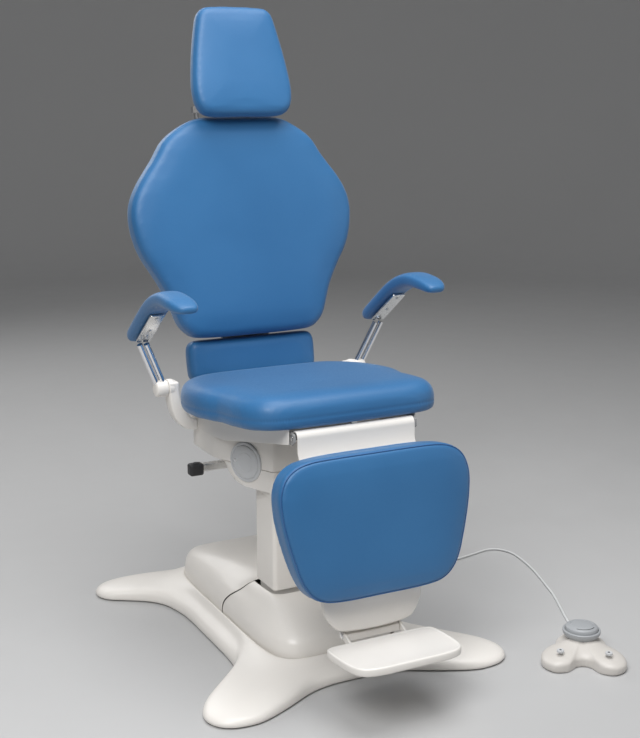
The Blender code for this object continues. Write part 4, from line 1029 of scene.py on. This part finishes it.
LEG_SHELL = [
    (0.000, -0.012), (0.120, -0.012), (0.170, -0.022), (0.200, -0.055), (0.208, -0.100),
    (0.200, -0.150), (0.186, -0.205), (0.166, -0.245), (0.140, -0.275), (0.126, -0.300),
    (0.122, -0.325), (0.117, -0.346), (0.103, -0.369), (0.080, -0.384), (0.000, -0.390),
]
prism("leg_shell", smooth_line(mirrored(LEG_SHELL), 160, True), panel_place(LEG), -0.0465, -0.0305,
      0.0050, "white", "leg", ["legrest_shell"])
back_loop = inset(smooth_line(mirrored(BACK_OUTLINE), 180, True), 0.016)
prism("back_board", back_loop, panel_place(BACK), -0.0485, -0.0352, 0.0060, "white", "back",
      ["back_shell"])
refine("head_shell", "white", 0.0030)

# ------------------------------------------------------------------ footplate
TREAD = Lean((0, -0.370, 0.1475), 4.5)
TREAD_HALF = [
    (0.000, -0.008), (0.050, -0.008), (0.100, -0.0075), (0.122, -0.004), (0.132, 0.006),
    (0.135, 0.030), (0.1345, 0.080), (0.1305, 0.115), (0.120, 0.137), (0.100, 0.149),
    (0.070, 0.1535), (0.035, 0.154), (0.000, 0.154),
]


def build_footplate():
    loop = smooth_line(mirrored(TREAD_HALF), 150, True)
    rings = []

    def ring(gap, depth):
        edge = inset(loop, gap)
        return TREAD.at(edge[:, 0], -depth, edge[:, 1])

    for gap, depth in ((0.006, 0.0180), (0.0025, 0.0175), (0.0008, 0.0160), (0.0, 0.0135),
                       (0.0, 0.0040), (0.0006, 0.0018), (0.0022, 0.0004), (0.0042, 0.0),
                       (0.0062, 0.0003), (0.0078, 0.0011), (0.0095, 0.0014)):
        rings.append(ring(gap, depth))
    piece("footplate_tread", *rings_mesh(rings), "white", "foot", ["footplate"], sharp=50)
    y, z = -0.332, 0.150
    ear = smooth_line([(y - 0.055, z - 0.010), (y - 0.032, z - 0.015), (y - 0.008, z - 0.010),
                       (y + 0.009, z - 0.007), (y + 0.0115, z), (y + 0.009, z + 0.0075),
                       (y, z + 0.0105), (y - 0.012, z + 0.0060), (y - 0.026, z - 0.001),
                       (y - 0.040, z - 0.005), (y - 0.055, z - 0.006)], 60, True)
    for side, tag in ((-1, "L"), (1, "R")):
        x0, x1 = sorted((side * 0.0665, side * 0.0725))
        prism("footplate_ear_" + tag, ear, sideways, x0, x1, 0.0012, "white", "foot")
        turned("footplate_pin_head_" + tag, (side * 0.0722, y, z), (side, 0, 0),
               [(0.0, 0.0072), (0.0022, 0.0072), (0.0032, 0.0062), (0.0036, 0.0040)], "chrome",
               "leg", sides=28)


build_footplate()
bracket_points = [(-0.0410, -0.4115), (-0.0410, -0.3955), (-0.0475, -0.3930), (-0.0475, -0.3400),
                  (-0.0560, -0.3400), (-0.0640, -0.3800), (-0.0640, -0.4115)]
bracket_loop = np.array([LEG.at(0.0, s, n)[1:] for n, s in bracket_points])
bracket = piece("footplate_block",
                *rings_mesh([sideways(bracket_loop, x) for x in (-0.0655, 0.0655)]), "powder",
                "leg", ["footplate_bracket"])
bevel(bracket, 0.0018, 3)

# ------------------------------------------------------------------ arms
ARM_Y, ARM_Z = 0.225, 0.605


def build_arm(side, tag):
    body = "arm_" + tag
    gusset = smooth_line([(0.1860, 0.4985), (0.2060, 0.5000), (0.2230, 0.5075), (0.2390, 0.5260),
                          (0.2495, 0.5520), (0.2550, 0.5860), (0.2555, 0.6150), (0.2520, 0.6205),
                          (0.2340, 0.6205), (0.2300, 0.6150), (0.2280, 0.5860), (0.2190, 0.5600),
                          (0.2060, 0.5360), (0.1980, 0.5265), (0.1860, 0.5225)], 90, True)
    prism("arm_bracket_" + tag, gusset * (side, 1.0),
          lambda pts, h: np.column_stack([pts[:, 0], np.full(len(pts), h), pts[:, 1]]), 0.2050,
          0.2450, 0.0050, "powder", "seat", ["arm_casting_" + tag])
    turned("arm_boss_" + tag, (side * 0.2400, ARM_Y, ARM_Z), (side, 0, 0),
           [(0.0, 0.0180), (0.002, 0.0205), (0.005, 0.0215), (0.0135, 0.0215), (0.0150, 0.0205),
            (0.0154, 0.0190)], "powder", "seat")
    turned("arm_knuckle_" + tag, (side * 0.2562, ARM_Y, ARM_Z), (side, 0, 0),
           [(0.0, 0.0180), (0.001, 0.0195), (0.003, 0.0200), (0.0240, 0.0200), (0.0275, 0.0190),
            (0.0296, 0.0165), (0.0306, 0.0120), (0.0308, 0.0050)], "powder", body,
           ["arm_hub_" + tag])
    for number, (low, high) in enumerate(((0.2650, 0.3100), (0.2820, 0.3270))):
        start = np.array((side * low, ARM_Y - 0.0005, ARM_Z + 0.0135))
        end = np.array((side * high, ARM_Y - 0.0185, ARM_Z + 0.1165))
        obj = piece(f"arm_tube_{tag}{number}", *sweep(np.linspace(start, end, 12), 0.0068, 28),
                    "chrome", body, ["arm_stem_" + tag] if number == 0 else ())
    along = np.array((0.0, math.cos(DROP), -math.sin(DROP)))
    out = np.array((0.0, -math.sin(DROP), -math.cos(DROP)))
    middle = np.array((side * ARM_PAD_X, *ARM_PAD_AT))
    loop = round_rect(-0.018, 0.018, -0.045, 0.090, 0.006)

    def place(pts, h):
        return middle + pts[:, :1] * np.array((1.0, 0, 0)) + pts[:, 1:] * along + h * out

    prism("arm_mount_" + tag, loop, place, 0.0206, 0.0255, 0.0009, "silver", body,
          ["arm_plate_" + tag])
    for number, spot in enumerate((-0.030, 0.030)):
        turned(f"arm_screw_{tag}{number}", middle + along * spot + out * 0.0250, out,
               [(0.0, 0.0040), (0.0016, 0.0040), (0.0022, 0.0032), (0.0022, 0.0016),
                (0.0012, 0.0014)], "steel", body, sides=24)


for side, tag in ((-1, "L"), (1, "R")):
    build_arm(side, tag)

# ------------------------------------------------------------------ swivel brake lever
lever_loop = round_rect(-0.233, -0.080, 0.120, 0.138, 0.0060)
prism("brake_bar", lever_loop, upright, 0.4155, 0.4345, 0.0030, "silver", "brake", ["brake_lever"])
prism("brake_grip", round_rect(-0.241, -0.206, 0.1155, 0.1425, 0.0065), upright, 0.4085, 0.4365,
      0.0050, "dark", "brake", ["brake_pad"])
turned("brake_button", (-0.222, 0.129, 0.4355), (0, 0, 1),
       [(0.0, 0.0085), (0.0018, 0.0085), (0.0028, 0.0074), (0.0032, 0.0050), (0.0033, 0.0020)],
       "dark", "brake", ["brake_knob"], sides=32)

# ------------------------------------------------------------------ foot control
PEDAL_HALF = [
    (0.000, 0.100), (0.037, 0.091), (0.056, 0.063), (0.063, 0.032), (0.082, 0.011),
    (0.0965, -0.021), (0.094, -0.058), (0.069, -0.082), (0.038, -0.075), (0.018, -0.049),
    (0.000, -0.042),
]
DOME_AT = pedal_point(0.0, 0.046)


def build_pedal():
    loop = smooth_line(mirrored(PEDAL_HALF), 140, True)
    hub = np.array((0.0, 0.046))

    def place(pts, z):
        world = np.array([pedal_point(x, y) for x, y in pts])
        z = np.broadcast_to(z, len(pts))
        return np.column_stack([world, z])

    rings = [place(loop * 0.96, 0.0006), place(loop * 0.985, 0.0020), place(loop, 0.0060),
             place(loop, 0.0150)]
    for k in range(1, 11):
        t = k / 10
        bell = t * t * (3 - 2 * t)
        lobe = 1 - 0.62 * (1 - math.cos(math.pi / 2 * t))
        shrunk = loop * lobe
        centre = hub + (shrunk - hub) * (1 - 0.78 * bell)
        pts = shrunk * (1 - bell) + centre * bell
        near = np.exp(-(np.linalg.norm(pts - hub, axis=1) / 0.042) ** 2)
        z = 0.0150 + 0.0225 * math.sin(math.pi / 2 * t) + 0.0110 * near * bell
        rings.append(place(pts, z))
    piece("pedal_housing", *rings_mesh(rings), "control", "base", ["pedal_body"], sharp=0)
    turned("pedal_ring", (*DOME_AT, 0.0400), (0, 0, 1),
           [(0.0, 0.0385), (0.008, 0.0440), (0.0120, 0.0450), (0.0155, 0.0448), (0.0166, 0.0434),
            (0.0168, 0.0402), (0.0158, 0.0394), (0.0095, 0.0394)], "grey", "base",
           ["pedal_collar"])
    turned("pedal_cap_dome", (*DOME_AT, 0.0550), (0, 0, 1),
           [(0.0, 0.0386), (0.0060, 0.0386), (0.0090, 0.0372), (0.0118, 0.0330), (0.0132, 0.0288),
            (0.0134, 0.0276), (0.0126, 0.0267), (0.0132, 0.0258), (0.0142, 0.0220),
            (0.0149, 0.0115), (0.0150, 0.0030)], "grey", "pedal_cap", ["pedal_dome"])
    for side, tag in ((-1, "L"), (1, "R")):
        bx, by = pedal_point(side * 0.055, -0.047)
        turned("pedal_switch_" + tag, (bx, by, 0.0380), (0, 0, 1),
               [(0.0, 0.0085), (0.0042, 0.0085), (0.0054, 0.0076), (0.0057, 0.0050),
                (0.0050, 0.0030), (0.0048, 0.0010)], "pale_grey",
               "pedal_left" if side < 0 else "pedal_right", ["pedal_button_" + tag], sides=32)
        turned("pedal_switch_mark_" + tag, (bx, by, 0.0424), (0, 0, 1),
               [(0.0, 0.0026), (0.0010, 0.0026), (0.0014, 0.0018), (0.0015, 0.0006)], "dark",
               "pedal_left" if side < 0 else "pedal_right", sides=20)
    arc = [(DOME_AT[0] + 0.0303 * math.cos(a), DOME_AT[1] + 0.0303 * math.sin(a), 0.0664)
           for a in np.radians(np.linspace(208, 300, 26))]
    piece("pedal_cap_slot", *sweep(arc, 0.0016, 10), "dark", "pedal_cap")


build_pedal()

# ------------------------------------------------------------------ small parts
prism("mains_inlet", round_rect(-0.024, 0.024, 0.060, 0.092, 0.003),
      lambda loop, h: np.column_stack([loop[:, 0], np.full(len(loop), h), loop[:, 1]]), 0.4375,
      0.4450, 0.0010, "dark", "base")
SCREW_HEAD = [(0.0, 0.0055), (0.0014, 0.0055), (0.0022, 0.0045), (0.0022, 0.0020), (0.0012, 0.0018)]
BOARD_SCREWS = [(0.11, 0.17), (-0.11, 0.17), (0.20, 0.0), (-0.20, 0.0), (0.11, -0.26),
                (-0.11, -0.26)]
SHELL_SCREWS = [(0.15, -0.06), (-0.15, -0.06), (0.13, -0.23), (-0.13, -0.23)]
for name, body, panel, depth, spots in (
        ("back_board_screw_", "back", BACK, -0.0483, BOARD_SCREWS),
        ("leg_shell_screw_", "leg", LEG, -0.0463, SHELL_SCREWS)):
    for number, (x, run) in enumerate(spots):
        turned(name + str(number), panel.at(x, run, depth), -panel.out, SCREW_HEAD, "steel", body,
               sides=24)

low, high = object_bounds()
